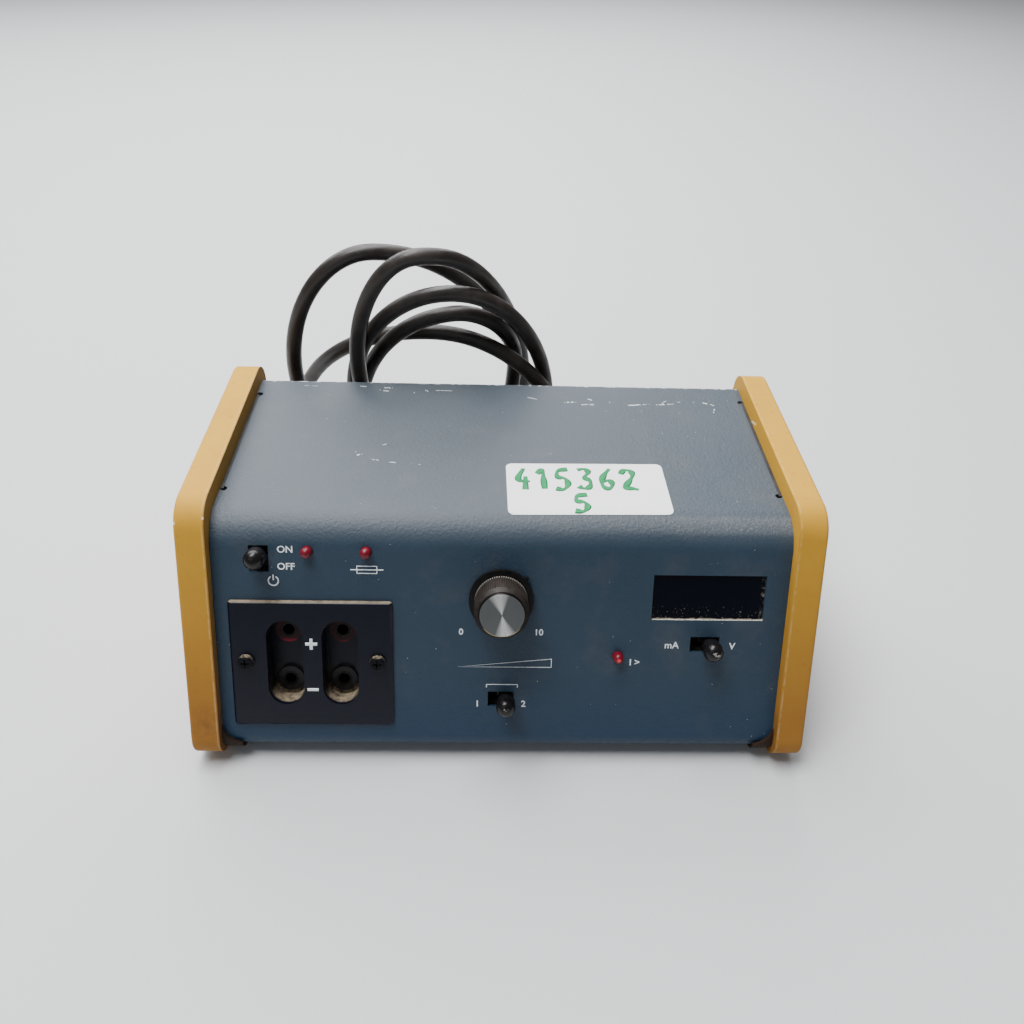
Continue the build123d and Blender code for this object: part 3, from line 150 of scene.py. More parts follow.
cord_points = lead_points + [tuple(point) for point in coil_points] + tail_points
cord_curve = bpy.data.curves.new("mains_cord", "CURVE")
cord_curve.dimensions = "3D"
cord_spline = cord_curve.splines.new("NURBS")
cord_spline.points.add(len(cord_points) - 1)
for point, place in zip(cord_spline.points, cord_points):
    point.co = (*place, 1)
cord_spline.order_u = 3
cord_spline.use_endpoint_u = True
cord_spline.resolution_u = 6
cord_curve.bevel_depth = cord_diameter / 2
cord_curve.bevel_resolution = 6
mains_cord = bpy.data.objects.new("mains_cord", cord_curve)
bpy.context.scene.collection.objects.link(mains_cord)


class Signal:
    """One value that changes over a surface, so that shader maths is written as sums."""

    def __init__(self, finish, socket):
        self.finish = finish
        self.socket = socket

    def maths(self, operation, *values, clamp=False):
        settings = {"operation": operation, "use_clamp": clamp}
        return self.finish.add("ShaderNodeMath", settings, dict(enumerate(values)))

    def __add__(self, other):
        return self.maths("ADD", self, other)

    def __sub__(self, other):
        return self.maths("SUBTRACT", self, other)

    def __rsub__(self, other):
        return self.maths("SUBTRACT", other, self)

    def __mul__(self, other):
        return self.maths("MULTIPLY", self, other)

    def __pow__(self, other):
        return self.maths("POWER", self, other)

    def __abs__(self):
        return self.maths("ABSOLUTE", self)

    __radd__ = __add__
    __rmul__ = __mul__

    def at_most(self, other):
        return self.maths("MINIMUM", self, other)

    def above(self, edge, soft):
        """0 below the edge and 1 above it, softly."""
        return self.maths("MULTIPLY_ADD", self, 1 / soft, 0.5 - edge / soft, clamp=True)

    def below(self, edge, soft):
        """1 below the edge and 0 above it, softly."""
        return self.maths("MULTIPLY_ADD", self, -1 / soft, 0.5 + edge / soft, clamp=True)


class Finish:
    """A surface finish: a Principled material and a short way to add nodes to it."""

    def __init__(self, name, **surface):
        self.material = bpy.data.materials.new(name)
        self.material.use_nodes = True
        self.tree = self.material.node_tree
        self.shader = self.tree.nodes["Principled BSDF"]
        for socket, value in surface.items():
            self.feed(self.shader.inputs[socket.replace("_", " ")], value)
        self.place = self.add("ShaderNodeTexCoord", {}, {}, "Object")
        split = self.add("ShaderNodeSeparateXYZ", {}, {0: self.place})
        self.x, self.y, self.z = [Signal(self, socket) for socket in split.socket.node.outputs]

    def feed(self, socket, value):
        """Link what changes over the surface, and set what doesn't."""
        if isinstance(value, Signal):
            self.tree.links.new(value.socket, socket)
        else:
            socket.default_value = value

    def add(self, kind, settings, inputs, output=0):
        """One node: its type, its settings, then the values or links of its sockets."""
        node = self.tree.nodes.new(kind)
        for name, value in settings.items():
            setattr(node, name, value)
        for name, value in inputs.items():
            self.feed(node.inputs[name], value)
        return Signal(self, node.outputs[output])

    def noise(self, scale, detail=2.0, roughness=0.5, place=None):
        place = place or self.place
        inputs = {"Vector": place, "Scale": scale, "Detail": detail, "Roughness": roughness}
        return self.add("ShaderNodeTexNoise", {}, inputs)

    def noise_along(self, value):
        """Noise that changes with one value only."""
        return self.noise(1.0, 2, 0.5, self.add("ShaderNodeCombineXYZ", {}, {0: value}))

    def blend(self, mask, first, second):
        """The first colour where the mask is 0, the second where it is 1."""
        inputs = {0: mask, 6: first, 7: second}
        return self.add("ShaderNodeMix", {"data_type": "RGBA"}, inputs, 2)

    def along(self, way):
        """How far a place lies along a direction, in metres."""
        inputs = {0: self.place, 1: way}
        return self.add("ShaderNodeVectorMath", {"operation": "DOT_PRODUCT"}, inputs, "Value")

    def bumps(self, height, distance, strength):
        """Fine relief, its distance in metres."""
        inputs = {"Height": height, "Distance": distance, "Strength": strength}
        self.feed(self.shader.inputs["Normal"], self.add("ShaderNodeBump", {}, inputs))

    def wear(self, name, value):
        """Feed one of the shader's own sockets."""
        self.feed(self.shader.inputs[name], value)

    def on(self, *names):
        """Put this finish on CAD pieces."""
        for name in names:
            mesh = frame["nodes"][name].data
            mesh.materials.clear()
            mesh.materials.append(self.material)


jacket = Finish("cord_jacket", Roughness=0.42, Specular_IOR_Level=0.45)
jacket_black = (0.017, 0.013, 0.011, 1)
jacket_grey = (0.050, 0.040, 0.034, 1)
jacket_dust = jacket.noise(90, 4, 0.6).above(0.56, 0.2)
jacket.wear("Base Color", jacket.blend(jacket_dust * 0.4, jacket_black, jacket_grey))
jacket.wear("Roughness", 0.36 + jacket_dust * 0.2)
jacket.bumps(jacket.noise(700, 3), 0.00006, 0.5)
cord_curve.materials.append(jacket.material)
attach(mains_cord, "housing")
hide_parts("cord_lead", "cord_coil", "cord_tail")
jacket.on("strain_relief", "plug_body")

# Cover: one steel sheet, bent between its front panel and its top. Its fine textured
# blue-grey enamel is dusty on top under a painted sheen that is lighter to the left, has a
# painted highlight with painted glints on the right of the bend and a painted blue reflection
# low on the front panel, and is rubbed down to bare primer along the back edge.
panel_turn = next(joint for joint in frame["joints"] if joint["name"] == "knob_turn")
panel_out = Vector(panel_turn["axis"]).normalized()
panel_up = panel_out.cross(across)
knob_centre = Vector(panel_turn["pos_m"])
knob_up_slope = 0.062302
knob_to_middle = 0.0008
panel_foot = knob_centre - panel_up * knob_up_slope + across * knob_to_middle


def on_panel(x, up, out=0.0):
    """A place on the front panel: mm to the right of its middle, up its slope and out of it."""
    return panel_foot + (across * x + panel_up * up + panel_out * out) / 1000


def up_slope(finish):
    """How far up the panel's slope a place lies, in mm from the panel's foot."""
    return (finish.along(panel_up) - panel_foot.dot(panel_up)) * 1000


def off_panel(finish):
    """How far out of the panel's face a place lies, in mm."""
    return (finish.along(panel_out) - panel_foot.dot(panel_out)) * 1000


enamel = Finish("cover_enamel", Specular_IOR_Level=0.36)
deep_blue = (0.016, 0.034, 0.056, 1)
worn_blue = (0.021, 0.041, 0.066, 1)
reflected_blue = (0.003, 0.026, 0.070, 1)
grime_grey = (0.09, 0.09, 0.09, 1)
dust_and_sheen_grey = (0.125, 0.128, 0.126, 1)
bend_highlight_grey = (0.25, 0.255, 0.255, 1)
primer_grey = (0.50, 0.54, 0.56, 1)
sill_dust = (0.62, 0.58, 0.50, 1)
# Back, across and up the slope in mm, heights above the bench in metres
back_edge = 60.1
edge_above = 0.0835
sill_low = 54.0
sill_high = 55.3
window_left = 50
top_from = 0.0805
bend_low = 0.0818
bend_high = 0.0846
reflection_below = 14
slope = up_slope(enamel)
depth = off_panel(enamel)
patch = enamel.noise(22, 4, 0.6)
grime = enamel.noise(60, 5, 0.65)
rubbed_rim = abs(enamel.y * 1000 - back_edge).below(0.5, 0.3) * enamel.noise(420, 4, 0.7).above(0.57, 0.08)
bare = rubbed_rim * enamel.z.above(edge_above, 0.0004)
sill = depth.below(-0.25, 0.15) * slope.above(sill_low, 0.3) * slope.below(sill_high, 0.3)
cut_rim = sill * (enamel.x * 1000).above(window_left, 1)
rim_dust = cut_rim * enamel.noise(900, 4, 0.7).above(0.42, 0.2)
# Painted reflection: the front panel is bluer towards its foot
lower = slope.below(reflection_below, 44)
# Grey film on the top: partly dust and partly painted sheen, lighter towards the left as painted light
dust_and_sheen_share = 0.12 + patch * 0.18 + enamel.x.below(0.02, 0.16) * 0.08
dust_and_sheen = enamel.z.above(top_from, 0.006) * dust_and_sheen_share
# Painted highlight along the bend, with painted glints on its right
bend_highlight = enamel.z.below(bend_high, 0.0004) * enamel.z.above(bend_low, 0.0012) * enamel.x.above(0.04, 0.07)
painted_glints = bend_highlight * enamel.noise(1900, 2, 0.5).above(0.58, 0.10)
paint = enamel.blend(patch.above(0.5, 0.6), deep_blue, worn_blue)
paint = enamel.blend(lower * 0.8, paint, reflected_blue)
paint = enamel.blend(grime.above(0.62, 0.2) * (1 - lower) * 0.2, paint, grime_grey)
paint = enamel.blend(dust_and_sheen, paint, dust_and_sheen_grey)
paint = enamel.blend(bend_highlight * 0.12 + painted_glints * 0.26, paint, bend_highlight_grey)
paint = enamel.blend(bare, paint, primer_grey)
paint = enamel.blend(rim_dust, paint, sill_dust)
enamel.wear("Base Color", paint)
enamel.wear("Roughness", 0.44 + patch * 0.14 + bare * 0.3 + rim_dust * 0.4)
enamel.bumps(enamel.noise(950, 2, 0.55) + enamel.noise(2600, 2) * 0.45, 0.00030, 0.6)
enamel.on("front_top_cover")

# Cheeks: thick hollow mouldings in satin ochre, screwed on from inside. Their inner rims are
# rubbed pale. Painted shade darkens them towards the bottom, darkens the left one's inner
# wall and turns their ledges near black. The left one is chipped, with a brown smudge low
# down, and a pale curl lies along the right one's inner wall.
cheek = Finish("cheek_ochre", Specular_IOR_Level=0.08)
dark_ochre = (0.49, 0.258, 0.026, 1)
light_ochre = (0.61, 0.340, 0.038, 1)
shade_ochre = (0.245, 0.100, 0.027, 1)
speck_brown = (0.22, 0.11, 0.03, 1)
smudge_brown = (0.16, 0.07, 0.025, 1)
rubbed_ochre = (0.80, 0.62, 0.34, 1)
wall_shade_brown = (0.13, 0.080, 0.048, 1)
ledge_shade_black = (0.020, 0.013, 0.010, 1)
chip_cream = (0.80, 0.72, 0.52, 1)
cheek_x, cheek_y, cheek_z = [axis * 1000 for axis in (cheek.x, cheek.y, cheek.z)]
chip_ragged = 1.2


def chip(x, y, z, reach):
    """Where the moulding is chipped around a place in mm, with a ragged edge."""
    gap = ((cheek_x - x) ** 2 + (cheek_y - y) ** 2 + (cheek_z - z) ** 2) ** 0.5
    return (gap + cheek.noise(900, 2) * chip_ragged).below(reach + chip_ragged / 2, 0.3)


# Places on the cheeks, in metres
shade_below = 0.058
smudge_x = -0.1035
smudge_z = 0.019
inner_wall = 0.0999
rim_end = 0.1004
ledge_end = 0.0994
ledge_top = 0.0215
stain = cheek.noise(28, 5, 0.62)
speck = cheek.noise(420, 4, 0.6).above(0.68, 0.06)
smudge_gap = ((cheek.x - smudge_x) ** 2 + (cheek.z - smudge_z) ** 2 * 0.5) ** 0.5
smudge_edge = cheek.noise(500, 4, 0.65).above(0.45, 0.25)
smudge = smudge_gap.below(0.0035, 0.006) * smudge_edge * off_panel(cheek).above(2.5, 1)
from_middle = abs(cheek.x)
inner_rim = from_middle.above(inner_wall, 0.0002) * from_middle.below(rim_end, 0.0004)
inner_edge = inner_rim * cheek.noise(260, 4, 0.65).above(0.47, 0.16)
# Painted shade on the left cheek's inner wall
shaded_wall = from_middle.below(inner_wall, 0.0003) * cheek.x.below(0.0, 0.01)
# Painted shade on the ledges at the cheeks' inner foot
ledge_shade = from_middle.below(ledge_end, 0.0006) * cheek.z.below(ledge_top, 0.004)
# The curl's line: how far it falls for each mm back, from what height in mm, and its two ends
curl_fall = 0.372
curl_height = 98.4
curl_front = 30.0
curl_back = 35.4
curl_line = abs(cheek_z + cheek_y * curl_fall - curl_height).below(0.45, 0.3)
curl_ends = cheek_y.above(curl_front, 0.6) * cheek_y.below(curl_back, 0.6)
curl = curl_line * curl_ends * from_middle.below(0.1001, 0.0002) * cheek.x.above(0.09, 0.002)
chipped = (chip(-109.4, -33.6, 86.8, 0.6) + chip(-99.8, -32.4, 87.9, 0.4) + curl).at_most(1.0)
ochre = cheek.blend(stain.above(0.52, 0.5), dark_ochre, light_ochre)
# Painted shade: darker and browner towards the bottom
ochre = cheek.blend(cheek.z.below(shade_below, 0.07) * 0.8, ochre, shade_ochre)
ochre = cheek.blend(speck * 0.35, ochre, speck_brown)
ochre = cheek.blend(smudge * 0.55, ochre, smudge_brown)
ochre = cheek.blend(inner_edge * 0.22, ochre, rubbed_ochre)
ochre = cheek.blend(shaded_wall * 0.5, ochre, wall_shade_brown)
ochre = cheek.blend(ledge_shade * 0.97, ochre, ledge_shade_black)
ochre = cheek.blend(chipped * 0.85, ochre, chip_cream)
cheek.wear("Base Color", ochre)
cheek.wear("Roughness", 0.48 + stain * 0.16)
cheek.bumps(cheek.noise(900, 3) + stain * 0.3, 0.00008, 0.3)
cheek.on("left_cheek", "right_cheek")

# Side plates, base and rear panel: flat and folded steel sheet in black enamel. They close
# the housing between the cheeks, below and behind.
black_sheet = Finish("black_enamel", Specular_IOR_Level=0.4)
sheet_black = (0.012, 0.012, 0.013, 1)
sheet_grey = (0.05, 0.048, 0.044, 1)
sheet_dust = black_sheet.noise(140, 4, 0.6).above(0.55, 0.3)
black_sheet.wear("Base Color", black_sheet.blend(sheet_dust * 0.4, sheet_black, sheet_grey))
black_sheet.wear("Roughness", 0.45 + sheet_dust * 0.25)
black_sheet.bumps(black_sheet.noise(1100, 2), 0.00006, 0.4)
black_sheet.on("left_side_plate", "right_side_plate", "base_plate", "rear_panel")

# Terminal plate: near-black moulding with two wells, held to the panel by two screws. Beige
# dust lies in the lower half of the wells, and its upper bevel has beige dust with a painted
# highlight.
terminal = Finish("terminal_moulding", Specular_IOR_Level=0.25)
terminal_black = (0.0028, 0.0036, 0.010, 1)
dust_and_highlight_beige = (0.30, 0.24, 0.16, 1)
# Out of the panel and up its slope, in mm
well_under = -0.4
heap_below = 25.0
haze_below = 30.5
bevel_from = 60.5
dust = terminal.noise(420, 5, 0.7)
terminal_slope = up_slope(terminal)
terminal_depth = off_panel(terminal)
in_well = terminal_depth.below(well_under, 1.2)
heap = in_well * terminal_slope.below(heap_below, 2.6) * dust.above(0.42, 0.3) * 0.75
haze = in_well * terminal_slope.below(haze_below, 9.0) * dust.above(0.50, 0.3) * 0.3
# Upper bevel: beige dust and a painted highlight
on_bevel = terminal_slope.above(bevel_from, 0.25) * terminal_depth.above(0.1, 0.2)
bevel_dust_and_highlight = on_bevel * dust.above(0.38, 0.3) * 0.8
scatter = terminal.noise(1100, 3, 0.6).above(0.75, 0.04) * 0.2
dust_and_highlight = (heap + haze + bevel_dust_and_highlight + scatter).at_most(1.0)
terminal.wear("Base Color", terminal.blend(dust_and_highlight, terminal_black, dust_and_highlight_beige))
terminal.wear("Roughness", 0.34 + dust_and_highlight * 0.5)
terminal.bumps(terminal.noise(1500, 2) + dust_and_highlight * 0.4, 0.00008, 0.3)
terminal.on("terminal_plate", "jack_carrier")

# Sockets: moulded heads, red above and black below, with plated sleeves deep inside them that
# are painted near black as shade. Painted shade darkens the red ones towards the top and the right.
red_head = Finish("jack_red", Specular_IOR_Level=0.22)
socket_red = (0.23, 0.006, 0.022, 1)
dusty_red = (0.12, 0.03, 0.04, 1)
shade_black = (0.012, 0.003, 0.004, 1)
# Up the slope in mm, and across in metres
shade_above = 43.9
shade_right = -0.0665
red_dust = red_head.noise(600, 4, 0.6).above(0.5, 0.3)
# Painted shade towards the top of the red heads and in the right-hand well
shaded_right = red_head.x.above(shade_right, 0.002) * 0.6
painted_shade = (up_slope(red_head).above(shade_above, 1.0) + shaded_right).at_most(0.93)
red = red_head.blend(red_dust * 0.2, socket_red, dusty_red)
red_head.wear("Base Color", red_head.blend(painted_shade, red, shade_black))
red_head.wear("Roughness", 0.3 + red_dust * 0.25)
red_head.bumps(red_head.noise(900, 2), 0.00005, 0.3)
red_head.on("red_jack_heads")
# Plated sleeves painted near black, as shade deep in the bores
shaded_sleeve = Finish("shade_dark_plating", Metallic=1.0)
sleeve_grey = (0.035, 0.032, 0.03, 1)
sleeve_dark = (0.015, 0.013, 0.012, 1)
tarnish = shaded_sleeve.noise(700, 3, 0.6)
shaded_sleeve.wear("Base Color", shaded_sleeve.blend(tarnish, sleeve_grey, sleeve_dark))
shaded_sleeve.wear("Roughness", 0.4 + tarnish * 0.25)
shaded_sleeve.on("jack_sleeves")
black_head = Finish("jack_black", Specular_IOR_Level=0.3)
socket_black = (0.004, 0.004, 0.005, 1)
head_brown = (0.05, 0.04, 0.03, 1)
head_dust = black_head.noise(600, 4, 0.6).above(0.58, 0.2)
black_head.wear("Base Color", black_head.blend(head_dust * 0.3, socket_black, head_brown))
black_head.wear("Roughness", 0.34 + head_dust * 0.3)
black_head.bumps(black_head.noise(900, 2), 0.00005, 0.3)
black_head.on("black_jack_heads")

# Black mouldings: switch bodies, fuse holder and cap, potentiometer, transistors and feet,
# all of plain black plastic or rubber with fine dust.
moulding = Finish("black_moulding", Specular_IOR_Level=0.5)
moulding_black = (0.014, 0.013, 0.013, 1)
moulding_grey = (0.12, 0.10, 0.085, 1)
moulding_dust = moulding.noise(480, 5, 0.65).above(0.54, 0.25)
moulding.wear("Base Color", moulding.blend(moulding_dust * 0.18, moulding_black, moulding_grey))
moulding.wear("Roughness", 0.30 + moulding_dust * 0.35)
moulding.bumps(moulding.noise(900, 2), 0.00005, 0.3)
moulding.on(
    "power_switch_body", "range_switch_body", "meter_switch_body",
    "fuse_holder", "fuse_holder_nut", "fuse_cap", "pot_body", "transistors", "feet",
)

# Switch levers: domed black caps that stand out of their openings in the panel. Grey flakes
# near their tips are painted highlights.
lever = Finish("lever_black", Specular_IOR_Level=0.28)
cap_black = (0.0065, 0.0055, 0.006, 1)
tip_highlight_grey = (0.26, 0.24, 0.23, 1)
tip_from = 8.9
# Painted highlight: grey flakes near the tips
tip_highlight = off_panel(lever).above(tip_from, 0.2) * lever.noise(600, 2, 0.5).above(0.66, 0.05)
lever.wear("Base Color", lever.blend(tip_highlight, cap_black, tip_highlight_grey))
lever.wear("Roughness", 0.27 + tip_highlight * 0.3)
lever.bumps(lever.noise(700, 2), 0.00005, 0.3)
lever.on("power_switch_lever", "range_switch_lever", "meter_switch_lever")

# Knob: ribbed black grip on a skirt, with brownish dust between its ribs and a painted
# highlight along their crests near the skirt, and a cap of spun aluminium with painted
# highlights in two wedges, a dark rim and a painted warm highlight low on the rim.
grip = Finish("knob_black", Specular_IOR_Level=0.2)
grip_black = (0.0045, 0.004, 0.004, 1)
grip_brown = (0.055, 0.042, 0.034, 1)
crest_highlight_grey = (0.26, 0.24, 0.22, 1)


def around_knob(finish):
    """How far a place lies to the right of the knob's axis, above it and from it, in mm."""
    beside = (finish.x - knob_centre.x) * 1000
    above = (finish.along(panel_up) - knob_centre.dot(panel_up)) * 1000
    return beside, above, (beside**2 + above**2) ** 0.5


# From the knob's axis and out of the panel, in mm
rib_root = 9.12
rib_foot = 2.6
rib_top = 12.9
crest_low = 2.55
crest_high = 3.7
crest_from = 8.9
grip_depth = off_panel(grip)
grip_reach = around_knob(grip)[2]
on_ribs = grip_depth.above(rib_foot, 0.3)
between = on_ribs * grip_depth.below(rib_top, 0.2) * grip_reach.below(rib_root, 0.12)
crest_band = grip_depth.above(crest_low, 0.15) * grip_depth.below(crest_high, 0.9)
# Painted highlight along the rib crests
rib_crest_highlight = crest_band * grip_reach.above(crest_from, 0.1)
grip_dust = grip.noise(500, 4, 0.65).above(0.45, 0.3)
dirt = on_ribs * (grip_dust * 0.2 + 0.1) + between * 0.4
black = grip.blend(dirt, grip_black, grip_brown)
grip.wear("Base Color", grip.blend(rib_crest_highlight * 0.8, black, crest_highlight_grey))
grip.wear("Roughness", 0.32 + grip_dust * 0.25)
grip.bumps(grip.noise(900, 2), 0.00005, 0.3)
grip.on("knob_body")
spun = Finish("spun_aluminium", Metallic=1.0, Roughness=0.34)
spun_dark = (0.15, 0.155, 0.155, 1)
spun_highlight = (0.92, 0.91, 0.88, 1)
rim_black = (0.015, 0.014, 0.013, 1)
rim_highlight_gold = (0.55, 0.44, 0.24, 1)
wedge_turn = 0.17
wedge_half = 0.30
rim_from = 7.46
rim_highlight_below = -5.0
spun_beside, spun_above, spun_reach = around_knob(spun)
spun_angle = spun_beside.maths("ARCTAN2", spun_beside, spun_above)
half_turn = spun_angle.maths("PINGPONG", spun_angle + wedge_turn, math.pi / 2)
ray = spun.noise_along(spun_angle * 9)
# Painted highlight in two wedges across the cap
highlight_wedge = half_turn.below(wedge_half, 0.42) * (0.55 + ray * 0.9)
rim = spun_reach.above(rim_from, 0.1)
turned = spun.blend(highlight_wedge.at_most(1.0), spun_dark, spun_highlight)
turned = spun.blend(rim, turned, rim_black)
# Painted warm highlight on the lower edge of the rim
turned = spun.blend(rim * spun_above.below(rim_highlight_below, 1.5), turned, rim_highlight_gold)
spun.wear("Base Color", turned)
spun.wear("Roughness", 0.40 - highlight_wedge * 0.12)
spun.bumps(spun.noise_along(spun_reach * 14), 0.00004, 0.6)
spun.on("knob_cap")

# Plated steel: screws, nuts, spacers and the plug's blades. The two screws of the terminal
# plate have gone dark, with dust in their slots and on their upper rims.
plating = Finish("zinc_plating", Metallic=1.0)
zinc_grey = (0.50, 0.48, 0.45, 1)
zinc_bright = (0.60, 0.58, 0.56, 1)
plating_wear = plating.noise(500, 3)
plating.wear("Base Color", plating.blend(plating_wear, zinc_grey, zinc_bright))
plating.wear("Roughness", 0.2 + plating_wear * 0.25)
plating.on(
    "jack_nuts", "plug_blades", "plate_nuts", "foot_screws", "lip_screws", "cheek_screws",
    "board_spacers", "standoffs", "pot_nut", "knob_set_screw", "transformer_strap", "pot_shaft",
)
blackened = Finish("blackened_screw", Specular_IOR_Level=0.12)
screw_black = (0.004, 0.004, 0.006, 1)
screw_beige = (0.22, 0.18, 0.12, 1)
rim_dust_above = 40.9
slot_below = 3.0
screw_grit = blackened.noise(900, 4, 0.7)
screw_dust = up_slope(blackened).above(rim_dust_above, 0.5) * screw_grit.above(0.48, 0.2)
slot_dust = off_panel(blackened).below(slot_below, 0.3) * screw_grit.above(0.5, 0.2) * 0.5
screw_dirt = (screw_dust + slot_dust).at_most(1.0)
blackened.wear("Base Color", blackened.blend(screw_dirt, screw_black, screw_beige))
blackened.wear("Roughness", 0.42 + screw_dirt * 0.3)
blackened.on("plate_screws")

# Lamps: clear red domes that stand out of round holes in the panel. The one beside the meter
# switch glows at its tip.
lamp = Finish("lamp_red", Specular_IOR_Level=0.35, Emission_Strength=0.7)
lamp_dark = (0.10, 0.003, 0.010, 1)
lamp_light = (0.15, 0.005, 0.016, 1)
unlit = (0.01, 0.0, 0.0, 1)
lit = (0.9, 0.05, 0.05, 1)
glow_above = 3.70
lit_right_of = 20
glow = off_panel(lamp).above(glow_above, 0.09) * (lamp.x * 1000).above(lit_right_of, 1)
lamp.wear("Base Color", lamp.blend(lamp.noise(500, 2), lamp_dark, lamp_light))
lamp.wear("Emission Color", lamp.blend(glow, unlit, lit))
lamp.wear("Roughness", 0.26 + lamp.noise(600, 2) * 0.15)
lamp.on("lamps")

# Display: a tinted window with a dark module behind it. Grit lies along its lower edge and
# beside its right one.
window = Finish("window_tint", Specular_IOR_Level=0.3)
tint_black = (0.0008, 0.0016, 0.005, 1)
grit_beige = (0.42, 0.38, 0.30, 1)
window_low = 54.2
window_right = 90.4
loose_below = 58.5
window_up = up_slope(window)
grit = window.noise(700, 5, 0.7)
pile = window.noise(160, 3, 0.6)
settled = (window_up - window_low - pile * 1.6).below(0.0, 0.5) * grit.above(0.45, 0.15)
loose = window_up.below(loose_below, 4.0) * window.noise(1300, 3, 0.6).above(0.66, 0.04)
side_grit = (window.x * 1000).above(window_right, 0.7) * grit.above(0.55, 0.1)
gritty = (settled + loose * 0.6 + side_grit * 0.4).at_most(1.0)
window.wear("Base Color", window.blend(gritty, tint_black, grit_beige))
window.wear("Roughness", 0.14 + gritty * 0.6)
window.on("display_window", "display_module")

# Inside: green boards, varnished core, taped winding, sleeved capacitors, black heat sink
# and glass fuse. Each finish has its name, two shades, roughness and pieces.
inner_finishes = [
    ("board_laminate", (0.02, 0.10, 0.04, 1), (0.03, 0.13, 0.05, 1), 0.4, ("front_board", "main_board")),
    ("core_varnish", (0.05, 0.04, 0.035, 1), (0.08, 0.06, 0.05, 1), 0.5, ("transformer_core", "heat_sink")),
    ("winding_tape", (0.5, 0.32, 0.05, 1), (0.56, 0.38, 0.08, 1), 0.5, ("transformer_winding",)),
    ("capacitor_sleeve", (0.02, 0.04, 0.12, 1), (0.03, 0.05, 0.15, 1), 0.3, ("capacitors",)),
    ("fuse_glass", (0.85, 0.87, 0.88, 1), (0.9, 0.9, 0.9, 1), 0.08, ("fuse",)),
]
for name, dark, light, roughness, nodes in inner_finishes:
    inner = Finish(name)
    cloud = inner.noise(240, 3)
    inner.wear("Base Color", inner.blend(cloud, dark, light))
    inner.wear("Roughness", roughness + cloud * 0.1)
    inner.on(*nodes)

# Printed legends: thin white ink on the panel and on the terminal plate, only plain signs
# and numbers. Text and pen lines become flat meshes before they are placed.
ink_lift = 0.03
plate_face = 1.5
mm = 0.001
ink_flatness = 0.00002
size_for_capitals = 1.42
ink_spread = 0.05
panel_turned = Matrix((across, panel_up, panel_out)).transposed().to_4x4()


def flat_mesh(curve):
    """The mesh of a curve or text, pressed flat."""
    item = bpy.data.objects.new("ink", curve)
    bpy.context.scene.collection.objects.link(item)
    bpy.context.view_layer.update()
    mesh = bpy.data.meshes.new_from_object(item.evaluated_get(bpy.context.evaluated_depsgraph_get()))
    bpy.data.objects.remove(item)
    mesh.transform(Matrix.Diagonal((mm, mm, ink_flatness, 1)))
    return mesh


def text_mesh(text, height):
    """Text with capitals that high in mm, its middle at the origin."""
    curve = bpy.data.curves.new("ink", "FONT")
    curve.body = text
    curve.size = height * size_for_capitals
    curve.align_x = "CENTER"
    curve.align_y = "CENTER"
    curve.resolution_u = 3
    curve.offset = ink_spread
    return flat_mesh(curve)


def stroke_mesh(points, width, closed=False, spread=None):
    """A flat pen line through places in mm; spread gives its share of the width at each."""
    curve = bpy.data.curves.new("ink", "CURVE")
    curve.dimensions = "3D"
    spline = curve.splines.new("POLY")
    spline.points.add(len(points) - 1)
    for point, place in zip(spline.points, points):
        point.co = (*place, 0, 1)
    for point, share in zip(spline.points, spread or []):
        point.radius = share
    spline.use_cyclic_u = closed
    curve.bevel_depth = width / 2
    curve.bevel_resolution = 1
    curve.use_fill_caps = True
    return flat_mesh(curve)


def arc(x, up, radius, start, end, steps=20):
    """Places along an arc, its angles in degrees from the right, anticlockwise."""
    angles = [math.radians(start + (end - start) * step / steps) for step in range(steps + 1)]
    return [(x + radius * math.cos(angle), up + radius * math.sin(angle)) for angle in angles]


def box(left, low, right, high):
    """The corners of a box."""
    return [(left, low), (right, low), (right, high), (left, high)]


def add_ink(target, mesh, turned, place):
    """Turn and place one flat mesh, and add it to the piece that is being drawn."""
    mesh.transform(Matrix.Translation(place) @ turned)
    target.from_mesh(mesh)
    bpy.data.meshes.remove(mesh)


def finish_ink(name, source, finish, body):
    """Make what was drawn one piece, which moves with a body."""
    mesh = bpy.data.meshes.new(name)
    source.to_mesh(mesh)
    source.free()
    mesh.materials.append(finish.material)
    item = bpy.data.objects.new(name, mesh)
    bpy.context.scene.collection.objects.link(item)
    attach(item, body)


white_ink = Finish("white_ink", Roughness=0.5)
fresh_white = (0.80, 0.83, 0.85, 1)
worn_white = (0.45, 0.50, 0.54, 1)
ink_wear = white_ink.noise(900, 4, 0.7).above(0.60, 0.15)
white_ink.wear("Base Color", white_ink.blend(ink_wear, fresh_white, worn_white))
# Each text with its middle, right of the panel's middle and up its slope, and its height
legend_texts = [
    ("ON", -74.2, 79.2, 2.4),
    ("OFF", -74.1, 73.1, 2.4),
    ("0", -14.6, 49.7, 2.3),
    ("10", 12.6, 49.7, 2.3),
    ("1", -8.6, 21.9, 2.4),
    ("2", 7.9, 21.9, 2.4),
    ("mA", 59.8, 45.2, 2.5),
    ("V", 81.4, 45.0, 2.5),
    ("I >", 47.0, 38.5, 2.4),
]
